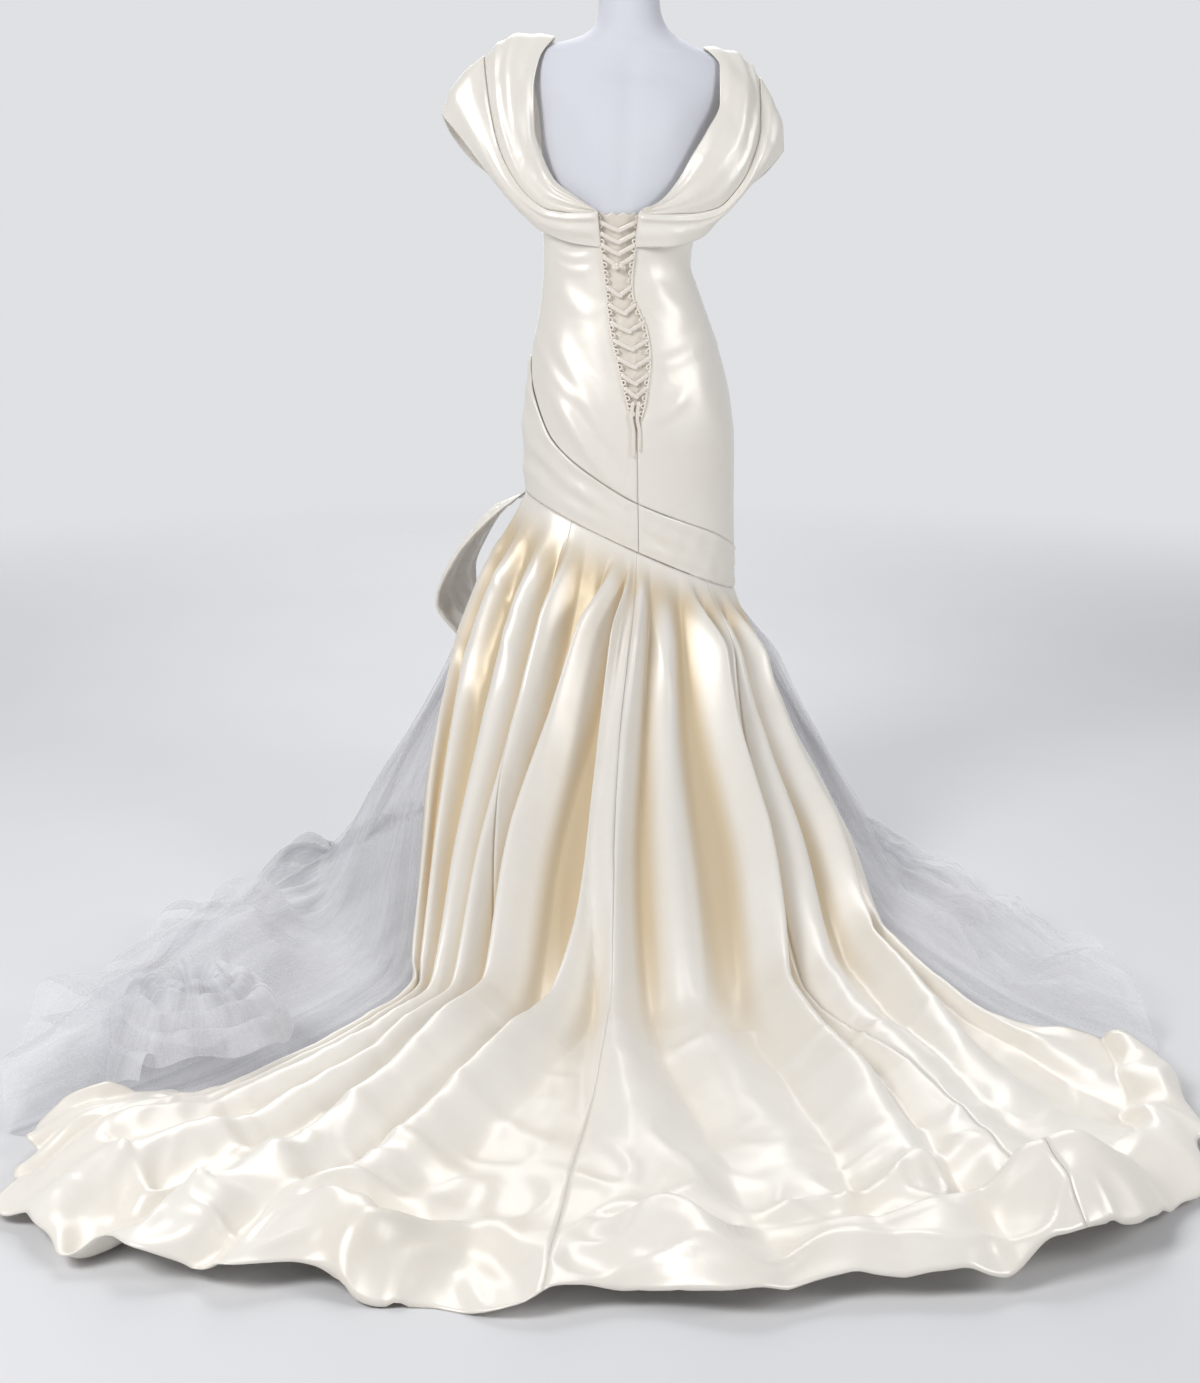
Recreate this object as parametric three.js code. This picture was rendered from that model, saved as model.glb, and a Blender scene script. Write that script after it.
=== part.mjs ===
// A satin mermaid evening gown on a dress form, seen from the back at +Y, with +X at the wearer's left.
// Millimetres, +Z up. The origin is the middle of the stand's foot, on the floor.
import * as THREE from 'three';

// ---------------------------------------------------------------- driving sizes
const satinThickness = 2;
const bandThickness = 2.6;
const tulleThickness = 1.2;
const seamGap = 0.5;            // clear space between two sewn pieces
const floorLift = 0.15;         // underside of cloth that lies on the floor
const liftOnTulle = 5.5;         // how much higher the satin's free edges lie than its middle
const foldStep = 0.02;          // reach over which a fold's direction is smoothed, as a part of the cloth
const formInset = 8.5;          // form surface behind the bodice's outer face
const bandStandsProud = 1.6;    // hip band in front of the bodice
const panelInset = 4.2;         // modesty panel behind the bodice's outer face

const waistHeight = 1101;
const sideSeam = 90;            // degrees round the body from the centre back, + to the wearer's left
const seamMiddle = 611;         // height of the slanting skirt seam at centre front and back
const seamSlant = 87;           // how much higher it is at the left side, and lower at the right
const lacingTop = 1188;
const lacingFoot = 815;
const ribbonWidth = 7;
const ribbonThickness = 1.2;
const loopRadius = 2.2;
const laceShort = 2.7;          // the ribbons stop this far inside the opening's edges
const laceDrop = 15;            // fall of each ribbon from the edge to the middle
const lacePlaces = [1172, 1152, 1132, 1112, 1062, 1032, 1002, 972, 942, 914, 892];
const knotRadius = 8;
const knotX = 22;
const knotZ = 1096;
const tailX = -8;
const bodiceBackTop = 1181;
const bodiceFrontTop = 1236;

const capSwell = 9;             // how far the cap swells away from the arm
const foldSwell = 15;           // and the soft fold from the shoulder
const tuckGap = 3.2;            // the fold's lower edge lies this far behind the cap's top edge

const formFoot = 560;
const neckTop = 1592;
const shoulderTilt = 0.06;
const poleRadius = 16;
const footRadius = 170;
const footHeight = 14;
const collarRadius = 34;
const collarHeight = 40;
const capRadius = 46;
const capHeight = 14;

// ---------------------------------------------------------------- materials
const finish = (color, roughness, metalness = 0) =>
  new THREE.MeshStandardMaterial({ color, roughness, metalness, side: THREE.DoubleSide });
const ivorySatin = finish(0xe9dfcd, 0.36);
const satinCord = finish(0xe6dac5, 0.45);
const whiteTulle = finish(0xe3e3ea, 0.8);
const formJersey = finish(0xe4e5ec, 0.75);
const whiteMetal = finish(0xd8d8da, 0.4, 0.3);

// ---------------------------------------------------------------- small maths
const radians = THREE.MathUtils.degToRad;
const clamp = THREE.MathUtils.clamp;
const lerp = THREE.MathUtils.lerp;
const smooth = (x) => THREE.MathUtils.smoothstep(x, 0, 1);
const point = (x, y, z) => new THREE.Vector3(x, y, z);
const bump = (x) => (Math.abs(x) < 1 ? (1 - x * x) ** 2 : 0);

// One column of a table at a key, on a smooth curve that never overshoots its rows.
function read(table, key, at, column) {
  let i = 0;
  while (i < table.length - 2 && at > table[i + 1][key]) i++;
  const rows = [i - 1, i, i + 1, i + 2].map((k) => table[clamp(k, 0, table.length - 1)]);
  const [a, b, c, d] = rows.map((row) => row[column]);
  const [ka, kb, kc, kd] = rows.map((row) => row[key]);
  const span = kc - kb;
  const secant = (c - b) / span;
  const slope = (before, after) => (before * after > 0 ? (2 * before * after) / (before + after) : 0);
  const slopeIn = i > 0 ? slope((b - a) / (kb - ka), secant) : secant;
  const slopeOut = i < table.length - 2 ? slope(secant, (d - c) / (kd - kc)) : secant;
  const t = clamp((at - kb) / span, 0, 1);
  const t2 = t * t;
  const t3 = t2 * t;
  return (2 * t3 - 3 * t2 + 1) * b + (t3 - 2 * t2 + t) * slopeIn * span
    + (3 * t2 - 2 * t3) * c + (t3 - t2) * slopeOut * span;
}

// ---------------------------------------------------------------- the figure
// Half width, depth to the back and to the front, and sideways shift of the cloth at each height.
const figure = [
  { z: 480, halfWidth: 187, back: 115, front: 118, shift: -1 },
  { z: 600, halfWidth: 187, back: 121, front: 119, shift: -1 },
  { z: 700, halfWidth: 186, back: 128, front: 118, shift: 0 },
  { z: 800, halfWidth: 187, back: 134, front: 117, shift: 3 },
  { z: 860, halfWidth: 182, back: 131, front: 115, shift: 4 },
  { z: 965, halfWidth: 161, back: 112, front: 107, shift: 10 },
  { z: 1040, halfWidth: 141, back: 98, front: 100, shift: 17 },
  { z: waistHeight, halfWidth: 129, back: 92, front: 99, shift: 24 },
  { z: 1150, halfWidth: 133, back: 96, front: 109, shift: 21 },
  { z: 1190, halfWidth: 139, back: 101, front: 122, shift: 18 },
  { z: 1250, halfWidth: 148, back: 106, front: 142, shift: 12 },
  { z: 1300, halfWidth: 154, back: 108, front: 140, shift: 8 },
];

// A point of the figure: angle in degrees from the centre back, height, distance out from the cloth's face.
function onFigure(angle, z, out = 0) {
  const a = radians(angle);
  const depth = read(figure, 'z', z, Math.cos(a) > 0 ? 'back' : 'front');
  return point(
    read(figure, 'z', z, 'shift') + (read(figure, 'z', z, 'halfWidth') + out) * Math.sin(a),
    (depth + out) * Math.cos(a),
    z,
  );
}
const angleOf = (x, z) => THREE.MathUtils.radToDeg(Math.asin(
  (x - read(figure, 'z', z, 'shift')) / read(figure, 'z', z, 'halfWidth')));

// The slanting seam between hip band and skirt.
const seamHeight = (angle) => seamMiddle + seamSlant * Math.sin(radians(angle));

// Top edge of the hip band: a narrow band at the right that fans into a wide swathe at the left.
const bandTop = [
  { angle: -180, z: 700 }, { angle: -135, z: 642 }, { angle: -90, z: 598 }, { angle: -45, z: 640 },
  { angle: -5, z: 690 }, { angle: 20, z: 738 }, { angle: 45, z: 798 }, { angle: 65, z: 878 },
  { angle: 90, z: 940 }, { angle: 120, z: 880 }, { angle: 150, z: 772 }, { angle: 180, z: 700 },
];
const bandHeight = (angle) => read(bandTop, 'angle', angle, 'z');

// The two edges of the laced opening: their x at each height, closing into the centre back seam.
const opening = [
  { z: 500, left: -15.6, right: -16.4 },
  { z: lacingFoot, left: -9.6, right: -10.4 },
  { z: 870, left: 6, right: -22 },
  { z: 940, left: 23, right: -30 },
  { z: 990, left: 34, right: -24 },
  { z: 1060, left: 42, right: 2 },
  { z: 1130, left: 50, right: -4 },
  { z: lacingTop, left: 58, right: -12 },
];
// Centre-back edge of a left (+1) or right (-1) piece at a height, as an angle.
function backEdge(z, side) {
  const open = z > lacingFoot;
  const x = open ? read(opening, 'z', z, side > 0 ? 'left' : 'right')
    : lerp(-16, -10, clamp((z - 500) / (lacingFoot - 500), 0, 1)) + side * seamGap / 2;
  return angleOf(x, z);
}

// ---------------------------------------------------------------- building solids
// Closed solid from a grid of outer points and the matching inner points.
function shell(outer, inner) {
  const nu = outer.length;
  const nv = outer[0].length;
  const positions = [];
  for (const grid of [outer, inner]) for (const line of grid) for (const p of line) positions.push(p.x, p.y, p.z);
  const at = (side, i, j) => side * nu * nv + i * nv + j;
  const triangles = [];
  const quad = (a, b, c, d) => triangles.push(a, b, c, a, c, d);
  for (let i = 0; i < nu - 1; i++) {
    for (let j = 0; j < nv - 1; j++) {
      quad(at(0, i, j), at(0, i + 1, j), at(0, i + 1, j + 1), at(0, i, j + 1));
      quad(at(1, i, j), at(1, i, j + 1), at(1, i + 1, j + 1), at(1, i + 1, j));
    }
    quad(at(1, i, 0), at(1, i + 1, 0), at(0, i + 1, 0), at(0, i, 0));
    quad(at(0, i, nv - 1), at(0, i + 1, nv - 1), at(1, i + 1, nv - 1), at(1, i, nv - 1));
  }
  for (let j = 0; j < nv - 1; j++) {
    quad(at(0, 0, j), at(0, 0, j + 1), at(1, 0, j + 1), at(1, 0, j));
    quad(at(1, nu - 1, j), at(1, nu - 1, j + 1), at(0, nu - 1, j + 1), at(0, nu - 1, j));
  }
  const geometry = new THREE.BufferGeometry();
  geometry.setAttribute('position', new THREE.Float32BufferAttribute(positions, 3));
  geometry.setIndex(triangles);
  return geometry;
}

// Outward unit normal of a surface(u, v), by steps to either side.
function normalAt(surface, u, v, facing, step = 0.004) {
  const du = surface(u + step, v).sub(surface(u - step, v));
  const dv = surface(u, v + step).sub(surface(u, v - step));
  return du.cross(dv).normalize().multiplyScalar(facing);
}

// A wall of cloth: surface(u, v) is its outer face, for u and v from 0 to 1. facing is +1 where u cross v points out.
function clothWall(surface, uSteps, vSteps, thickness, facing, range = {}) {
  const { u0 = 0, u1 = 1, v0 = 0, v1 = 1 } = range;
  const outer = [];
  const inner = [];
  for (let i = 0; i <= uSteps; i++) {
    const u = facing > 0 ? lerp(u0, u1, i / uSteps) : lerp(u1, u0, i / uSteps);
    outer.push([]);
    inner.push([]);
    for (let j = 0; j <= vSteps; j++) {
      const v = lerp(v0, v1, j / vSteps);
      const face = surface(u, v);
      const back = face.clone().addScaledVector(normalAt(surface, u, v, facing), -thickness);
      back.z = Math.max(back.z, floorLift);
      outer[i].push(face);
      inner[i].push(back);
    }
  }
  return shell(outer, inner);
}

// A closed solid through rings of equal count, capped flat at both ends. Rings run anticlockwise seen from above.
function ringSolid(rings) {
  const count = rings[0].length;
  const positions = [];
  rings.flat().forEach((p) => positions.push(p.x, p.y, p.z));
  const triangles = [];
  for (let r = 0; r < rings.length - 1; r++) {
    for (let k = 0; k < count; k++) {
      const a = r * count + k;
      const b = r * count + (k + 1) % count;
      triangles.push(a, b, b + count, a, b + count, a + count);
    }
  }
  for (const [ring, up] of [[0, false], [rings.length - 1, true]]) {
    const middle = rings[ring].reduce((sum, p) => sum.add(p), point(0, 0, 0)).divideScalar(count);
    const centre = positions.length / 3;
    positions.push(middle.x, middle.y, middle.z);
    for (let k = 0; k < count; k++) {
      const a = ring * count + k;
      const b = ring * count + (k + 1) % count;
      triangles.push(...(up ? [a, b, centre] : [b, a, centre]));
    }
  }
  const geometry = new THREE.BufferGeometry();
  geometry.setAttribute('position', new THREE.Float32BufferAttribute(positions, 3));
  geometry.setIndex(triangles);
  return geometry;
}

// A round cord along a curve.
function cordSolid(curve, radius, steps, sides = 8) {
  const section = new THREE.Shape();
  for (let k = 0; k < sides; k++) {
    const a = (k / sides) * Math.PI * 2;
    section[k ? 'lineTo' : 'moveTo'](radius * Math.cos(a), radius * Math.sin(a));
  }
  return new THREE.ExtrudeGeometry(section, { extrudePath: curve, steps, bevelEnabled: false });
}

const dress = new THREE.Group();
function add(name, geometry, material) {
  const mesh = new THREE.Mesh(geometry, material);
  mesh.name = name;
  dress.add(mesh);
  return mesh;
}

// ---------------------------------------------------------------- dress form and stand
const shoulders = [
  { z: 1250, halfWidth: 141, back: 98, front: 130, shift: 12 },
  { z: 1300, halfWidth: 148, back: 99, front: 126, shift: 7 },
  { z: 1350, halfWidth: 156, back: 95, front: 106, shift: 4 },
  { z: 1392, halfWidth: 166, back: 84, front: 84, shift: 2 },
  { z: 1420, halfWidth: 170, back: 70, front: 66, shift: 1 },
  { z: 1446, halfWidth: 160, back: 60, front: 57, shift: 0 },
  { z: 1460, halfWidth: 138, back: 56, front: 53, shift: 0 },
  { z: 1470, halfWidth: 110, back: 56, front: 51, shift: 0 },
  { z: 1483, halfWidth: 80, back: 57, front: 50, shift: 1 },
  { z: 1502, halfWidth: 60, back: 56, front: 49, shift: 2 },
  { z: 1530, halfWidth: 53, back: 53, front: 49, shift: 4 },
  { z: neckTop, halfWidth: 51, back: 51, front: 49, shift: 6 },
];

function formTorso() {
  const sides = 36;
  const rings = [];
  const ring = (row) => {
    const tilt = shoulderTilt * smooth((row.z - 1280) / 140) * (1 - smooth((row.z - 1455) / 60));
    return Array.from({ length: sides }, (_, k) => {
      const a = (k / sides) * Math.PI * 2;      // 0 at the back, turning to the wearer's right
      const x = row.shift - row.halfWidth * Math.sin(a);
      return point(x, (Math.cos(a) > 0 ? row.back : row.front) * Math.cos(a), row.z + tilt * x);
    });
  };
  for (const z of [formFoot, 620, 700, 760, 820, 880, 950, 1010, 1060, waistHeight, 1145, 1195]) {
    rings.push(ring({
      z,
      halfWidth: read(figure, 'z', z, 'halfWidth') - formInset,
      back: read(figure, 'z', z, 'back') - formInset,
      front: read(figure, 'z', z, 'front') - formInset,
      shift: read(figure, 'z', z, 'shift'),
    }));
  }
  shoulders.forEach((row) => rings.push(ring(row)));
  return ringSolid(rings);
}

// A turned solid standing on the axis at (x, y), from a profile of [radius, height] points.
function turned(name, profile, x, y, material) {
  const geometry = new THREE.LatheGeometry(profile.map(([r, h]) => new THREE.Vector2(r, h)), 32);
  geometry.rotateX(Math.PI / 2);
  geometry.translate(x, y, 0);
  add(name, geometry, material);
}

function makeForm() {
  add('form_torso', formTorso(), formJersey);
  const capFoot = neckTop + 0.4;
  turned('form_neck_cap', [[0, capFoot], [capRadius, capFoot], [capRadius, capFoot + capHeight * 0.6],
    [capRadius * 0.7, capFoot + capHeight], [0, capFoot + capHeight]], 6, 1, whiteMetal);
  turned('stand_pole', [[0, footHeight + 0.4], [poleRadius, footHeight + 0.4],
    [poleRadius, formFoot - 0.4], [0, formFoot - 0.4]], 0, 0, whiteMetal);
  turned('stand_collar', [[poleRadius + 0.4, footHeight + 0.4], [collarRadius, footHeight + 0.4],
    [collarRadius * 0.75, footHeight + collarHeight], [poleRadius + 0.4, footHeight + collarHeight],
    [poleRadius + 0.4, footHeight + 0.4]], 0, 0, whiteMetal);
  turned('stand_foot', [[0, 0], [footRadius, 0], [footRadius, footHeight * 0.5],
    [footRadius - 12, footHeight], [0, footHeight]], 0, 0, whiteMetal);
}

// ---------------------------------------------------------------- bodice and hip band
// Piece of the bodice: u runs from the centre back edge to the side seam, v from its foot to its top.
function backPanel(side, lowEdge, highEdge, out) {
  return (u, v) => {
    const nominal = lerp(-4, side * sideSeam, u);
    const z = lerp(lowEdge(nominal), highEdge(nominal), v);
    const end = side * (sideSeam - seamGap / 6);
    return onFigure(lerp(backEdge(z, side), end, u), z, out);
  };
}
// The front goes from side seam to side seam round the front.
function frontPanel(lowEdge, highEdge, out) {
  const start = sideSeam + seamGap / 6;
  return (u, v) => {
    const angle = lerp(start, 360 - start, u);
    const signed = angle > 180 ? angle - 360 : angle;
    return onFigure(angle, lerp(lowEdge(signed), highEdge(signed), v), out);
  };
}

function makeBodice() {
  const foot = (angle) => bandHeight(angle) + seamGap;
  const backTop = () => bodiceBackTop;
  const frontTop = (angle) => bodiceBackTop
    + (bodiceFrontTop - bodiceBackTop) * smooth((Math.abs(angle) - sideSeam) / 70);
  add('bodice_back_left', clothWall(backPanel(1, foot, backTop, 0), 8, 16, satinThickness, -1), ivorySatin);
  add('bodice_back_right', clothWall(backPanel(-1, foot, backTop, 0), 8, 16, satinThickness, 1), ivorySatin);
  add('bodice_front', clothWall(frontPanel(foot, frontTop, 0), 14, 9, satinThickness, -1), ivorySatin);

  const bandFoot = (angle) => seamHeight(angle) + seamGap;
  const proud = bandStandsProud;
  add('hip_swathe_left', clothWall(backPanel(1, bandFoot, bandHeight, proud), 8, 3, bandThickness, -1), ivorySatin);
  add('hip_band_right', clothWall(backPanel(-1, bandFoot, bandHeight, proud), 8, 2, bandThickness, 1), ivorySatin);
  add('hip_band_front', clothWall(frontPanel(bandFoot, bandHeight, proud), 14, 3, bandThickness, -1), ivorySatin);

  const modesty = (u, v) => {
    const z = lerp(lacingFoot - 8, lacingTop + 3, v);
    const flap = 2 + 12 * v;
    const left = angleOf(read(opening, 'z', z, 'left') + flap, z);
    const right = angleOf(read(opening, 'z', z, 'right') - flap, z);
    return onFigure(lerp(right, left, u), z, -panelInset);
  };
  add('modesty_panel', clothWall(modesty, 4, 8, tulleThickness, -1), ivorySatin);
}

// ---------------------------------------------------------------- shoulder drapes
// Each drape hangs between two edges that run from the centre back over the shoulder to the centre front.
// neck: edge at the neck. fold: top fold of the outer cap. arm: free edge at the arm.
const drapeEdges = {
  left: [
    { neck: [60, 104, 1192], fold: [58, 111, 1189], arm: [52, 93.9, 1130] },
    { neck: [95, 95, 1216], fold: [100, 104, 1188], arm: [100, 90, 1137] },
    { neck: [131, 74, 1243], fold: [140, 88, 1192], arm: [149, 66, 1153] },
    { neck: [153, 60, 1285], fold: [175, 79, 1214], arm: [190, 60, 1186] },
    { neck: [166, 52, 1330], fold: [207, 69, 1254], arm: [226, 52, 1226] },
    { neck: [167, 47, 1390], fold: [230, 54, 1305], arm: [262, 37, 1272] },
    { neck: [156, 34, 1448], fold: [246, 28, 1380], arm: [300, 18, 1320] },
    { neck: [130, 5, 1482], fold: [254, 0, 1450], arm: [328, 0, 1351] },
    { neck: [134, -28, 1468], fold: [252, -30, 1422], arm: [318, -42, 1324] },
    { neck: [138, -62, 1424], fold: [241, -64, 1362], arm: [285, -80, 1278] },
    { neck: [132, -97, 1364], fold: [215, -102, 1302], arm: [235, -107, 1238] },
    { neck: [108, -132, 1306], fold: [165, -132, 1256], arm: [170, -126, 1204] },
    { neck: [60, -154, 1268], fold: [85, -158, 1232], arm: [85, -138, 1182] },
    { neck: [1.4, -160, 1256], fold: [1.4, -165, 1224], arm: [1.4, -146, 1172] },
  ],
  right: [
    { neck: [-14, 105, 1191], fold: [-11, 112, 1187], arm: [-5, 94.3, 1130] },
    { neck: [-50, 102, 1210], fold: [-58, 110, 1186], arm: [-60, 98, 1130] },
    { neck: [-78, 93, 1242], fold: [-105, 96, 1187], arm: [-119, 76, 1145] },
    { neck: [-102, 85, 1283], fold: [-145, 82, 1194], arm: [-152, 67, 1177] },
    { neck: [-128, 77, 1325], fold: [-180, 72, 1226], arm: [-184, 58, 1212] },
    { neck: [-150, 59, 1372], fold: [-206, 57, 1270], arm: [-214, 44, 1240] },
    { neck: [-150, 36, 1434], fold: [-223, 34, 1335], arm: [-243, 24, 1267] },
    { neck: [-122, 5, 1464], fold: [-223, 0, 1414], arm: [-266, 0, 1292] },
    { neck: [-130, -28, 1452], fold: [-221, -30, 1390], arm: [-260, -40, 1279] },
    { neck: [-136, -62, 1410], fold: [-212, -64, 1342], arm: [-240, -78, 1252] },
    { neck: [-132, -97, 1356], fold: [-192, -102, 1292], arm: [-207, -106, 1226] },
    { neck: [-108, -132, 1304], fold: [-152, -132, 1254], arm: [-158, -124, 1201] },
    { neck: [-60, -154, 1268], fold: [-80, -158, 1232], arm: [-82, -137, 1181] },
    { neck: [-1.4, -160, 1256], fold: [-1.4, -165, 1224], arm: [-1.4, -146, 1172] },
  ],
};
const edgeCurve = (rows, edge) =>
  new THREE.CatmullRomCurve3(rows.map((row) => point(...row[edge])), false, 'catmullrom', 0.5);

// Sheet between two edge curves, swelling away from the figure by up to swell at its middle.
function drapeSheet(curveA, curveB, swell, side) {
  return (u, v) => {
    const t = clamp(u, 0, 1);
    const a = curveA.getPoint(t);
    const b = curveB.getPoint(t);
    const across = b.clone().sub(a);
    const out = curveA.getTangent(t).cross(across).normalize().multiplyScalar(side);
    const free = smooth(t / 0.3) * smooth((1 - t) / 0.3);
    const shape = 4 * v * (1 - v);
    return a.addScaledVector(across, v).addScaledVector(out, swell * free * shape);
  };
}

function makeDrapes() {
  for (const [name, side] of [['left', 1], ['right', -1]]) {
    const rows = drapeEdges[name];
    const cap = drapeSheet(edgeCurve(rows, 'fold'), edgeCurve(rows, 'arm'), capSwell, side);
    // The fold's lower edge is tucked behind the cap: it is made from the cap's points, moved in.
    const tucked = new THREE.CatmullRomCurve3(rows.map((row, k) => {
      const u = k / (rows.length - 1);
      return cap(u, 0).addScaledVector(normalAt(cap, clamp(u, 0.01, 0.99), 0.01, side), -tuckGap);
    }), false, 'catmullrom', 0.5);
    const fold = drapeSheet(edgeCurve(rows, 'neck'), tucked, foldSwell, side);
    add(`shoulder_cap_${name}`, clothWall(cap, 18, 4, satinThickness, side), ivorySatin);
    add(`shoulder_fold_${name}`, clothWall(fold, 18, 4, satinThickness, side), ivorySatin);
  }
}

// ---------------------------------------------------------------- lacing
// A flat strip of ribbon on the figure, from one [x, z] to another, out from the bodice's face.
function ribbonStrip(from, to, out, width, steps = 3) {
  const along = new THREE.Vector2(to[0] - from[0], to[1] - from[1]).normalize();
  const surface = (u, v) => {
    const x = lerp(from[0], to[0], u) - along.y * width * (v - 0.5);
    const z = lerp(from[1], to[1], u) + along.x * width * (v - 0.5);
    return onFigure(angleOf(x, z), z, out);
  };
  const facing = along.x > 0 ? -1 : 1;
  return clothWall(surface, steps, 1, ribbonThickness, facing);
}

function makeLacing() {
  const edge = (z, side) => read(opening, 'z', z, side > 0 ? 'left' : 'right');
  for (const [name, side] of [['left', 1], ['right', -1]]) {
    const route = new THREE.CatmullRomCurve3(Array.from({ length: 10 }, (_, k) => {
      const z = lerp(lacingTop - 62, lacingFoot + 30, k / 9);
      return onFigure(angleOf(edge(z, side) + side * loopRadius, z), z, loopRadius + 0.7);
    }));
    add(`lacing_loops_${name}`, cordSolid(route, loopRadius, 18, 6), satinCord);
  }
  for (let k = 0; k < lacePlaces.length; k++) {
    const z = lacePlaces[k];
    const middle = (edge(z - laceDrop, 1) + edge(z - laceDrop, -1)) / 2;
    for (const [name, side, out] of [['left', 1, 0.8], ['right', -1, -1.2]]) {
      const end = edge(z, side) - side * laceShort;
      add(`lace_${name}_${k + 1}`, ribbonStrip([end, z], [middle - side * 4, z - laceDrop], out, ribbonWidth), satinCord);
    }
  }
  const knot = new THREE.SphereGeometry(knotRadius, 10, 8);
  const knotPlace = onFigure(angleOf(knotX, knotZ), knotZ, knotRadius + 2.2);
  knot.translate(knotPlace.x, knotPlace.y, knotPlace.z);
  add('lacing_knot', knot, satinCord);
  for (const [name, x, foot] of [['left', tailX + 5, lacingFoot - 42], ['right', tailX - 5, lacingFoot - 30]]) {
    add(`lacing_tail_${name}`, ribbonStrip([x, lacingFoot + 22], [x - 1, foot], 1.75, ribbonWidth, 4), satinCord);
  }
}

// ---------------------------------------------------------------- skirt, drape and underskirt
// Each row is one line of cloth from seam to hem: its angle at the seam, a knee and a shin on the way down,
// where it meets the floor, a middle point on the floor and its point on the hem, with how high those two are heaped.
const train = [
  { u: 0.00, angle: 91, kneeX: 304, kneeY: 10, kneeZ: 438, shinX: 357, shinY: 290, shinZ: 190,
    touchX: 352, touchY: 640, midX: 545, midY: 1010, midZ: 0, hemX: 792, hemY: 1215, hemZ: 0 },
  { u: 0.12, angle: 66, kneeX: 272, kneeY: 105, kneeZ: 408, shinX: 312, shinY: 330, shinZ: 176,
    touchX: 330, touchY: 700, midX: 545, midY: 1090, midZ: 0, hemX: 808, hemY: 1370, hemZ: 0 },
  { u: 0.26, angle: 40, kneeX: 190, kneeY: 195, kneeZ: 385, shinX: 235, shinY: 420, shinZ: 165,
    touchX: 262, touchY: 760, midX: 470, midY: 1200, midZ: 0, hemX: 690, hemY: 1560, hemZ: 0 },
  { u: 0.40, angle: 16, kneeX: 88, kneeY: 252, kneeZ: 370, shinX: 125, shinY: 480, shinZ: 158,
    touchX: 150, touchY: 800, midX: 300, midY: 1260, midZ: 0, hemX: 425, hemY: 1630, hemZ: 0 },
  { u: 0.52, angle: -4, kneeX: 0, kneeY: 270, kneeZ: 362, shinX: 14, shinY: 500, shinZ: 155,
    touchX: 22, touchY: 825, midX: 70, midY: 1270, midZ: 0, hemX: 105, hemY: 1670, hemZ: 0 },
  { u: 0.64, angle: -25, kneeX: -85, kneeY: 248, kneeZ: 352, shinX: -105, shinY: 480, shinZ: 152,
    touchX: -125, touchY: 800, midX: -190, midY: 1250, midZ: 0, hemX: -235, hemY: 1660, hemZ: 0 },
  { u: 0.77, angle: -48, kneeX: -175, kneeY: 190, kneeZ: 335, shinX: -230, shinY: 390, shinZ: 145,
    touchX: -270, touchY: 700, midX: -410, midY: 1150, midZ: 0, hemX: -525, hemY: 1580, hemZ: 0 },
  { u: 0.89, angle: -70, kneeX: -236, kneeY: 105, kneeZ: 318, shinX: -325, shinY: 260, shinZ: 130,
    touchX: -385, touchY: 560, midX: -560, midY: 970, midZ: 0, hemX: -738, hemY: 1330, hemZ: 0 },
  { u: 1.00, angle: -91, kneeX: -268, kneeY: 18, kneeZ: 306, shinX: -378, shinY: 150, shinZ: 110,
    touchX: -432, touchY: 430, midX: -548, midY: 800, midZ: 0, hemX: -765, hemY: 1010, hemZ: 0 },
];
// Ridges of cloth from the pleats at the seam to the hem: place and half width across, height and sideways lean.
const trainFolds = [
  { top: 0.02, hem: 0.04, halfTop: 0.05, halfHem: 0.07, rise: 20, lean: 0 },
  { top: 0.13, hem: 0.13, halfTop: 0.06, halfHem: 0.06, rise: 26, lean: 0.3 },
  { top: 0.24, hem: 0.22, halfTop: 0.05, halfHem: 0.05, rise: 36, lean: 0.5 },
  { top: 0.35, hem: 0.31, halfTop: 0.05, halfHem: 0.05, rise: 50, lean: 0.6 },
  { top: 0.46, hem: 0.43, halfTop: 0.05, halfHem: 0.06, rise: 46, lean: 0.4 },
  { top: 0.57, hem: 0.56, halfTop: 0.055, halfHem: 0.065, rise: 52, lean: -0.2 },
  { top: 0.70, hem: 0.69, halfTop: 0.06, halfHem: 0.07, rise: 50, lean: -0.5 },
  { top: 0.83, hem: 0.82, halfTop: 0.055, halfHem: 0.06, rise: 44, lean: -0.4 },
  { top: 0.95, hem: 0.94, halfTop: 0.05, halfHem: 0.055, rise: 30, lean: -0.2 },
];
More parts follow.
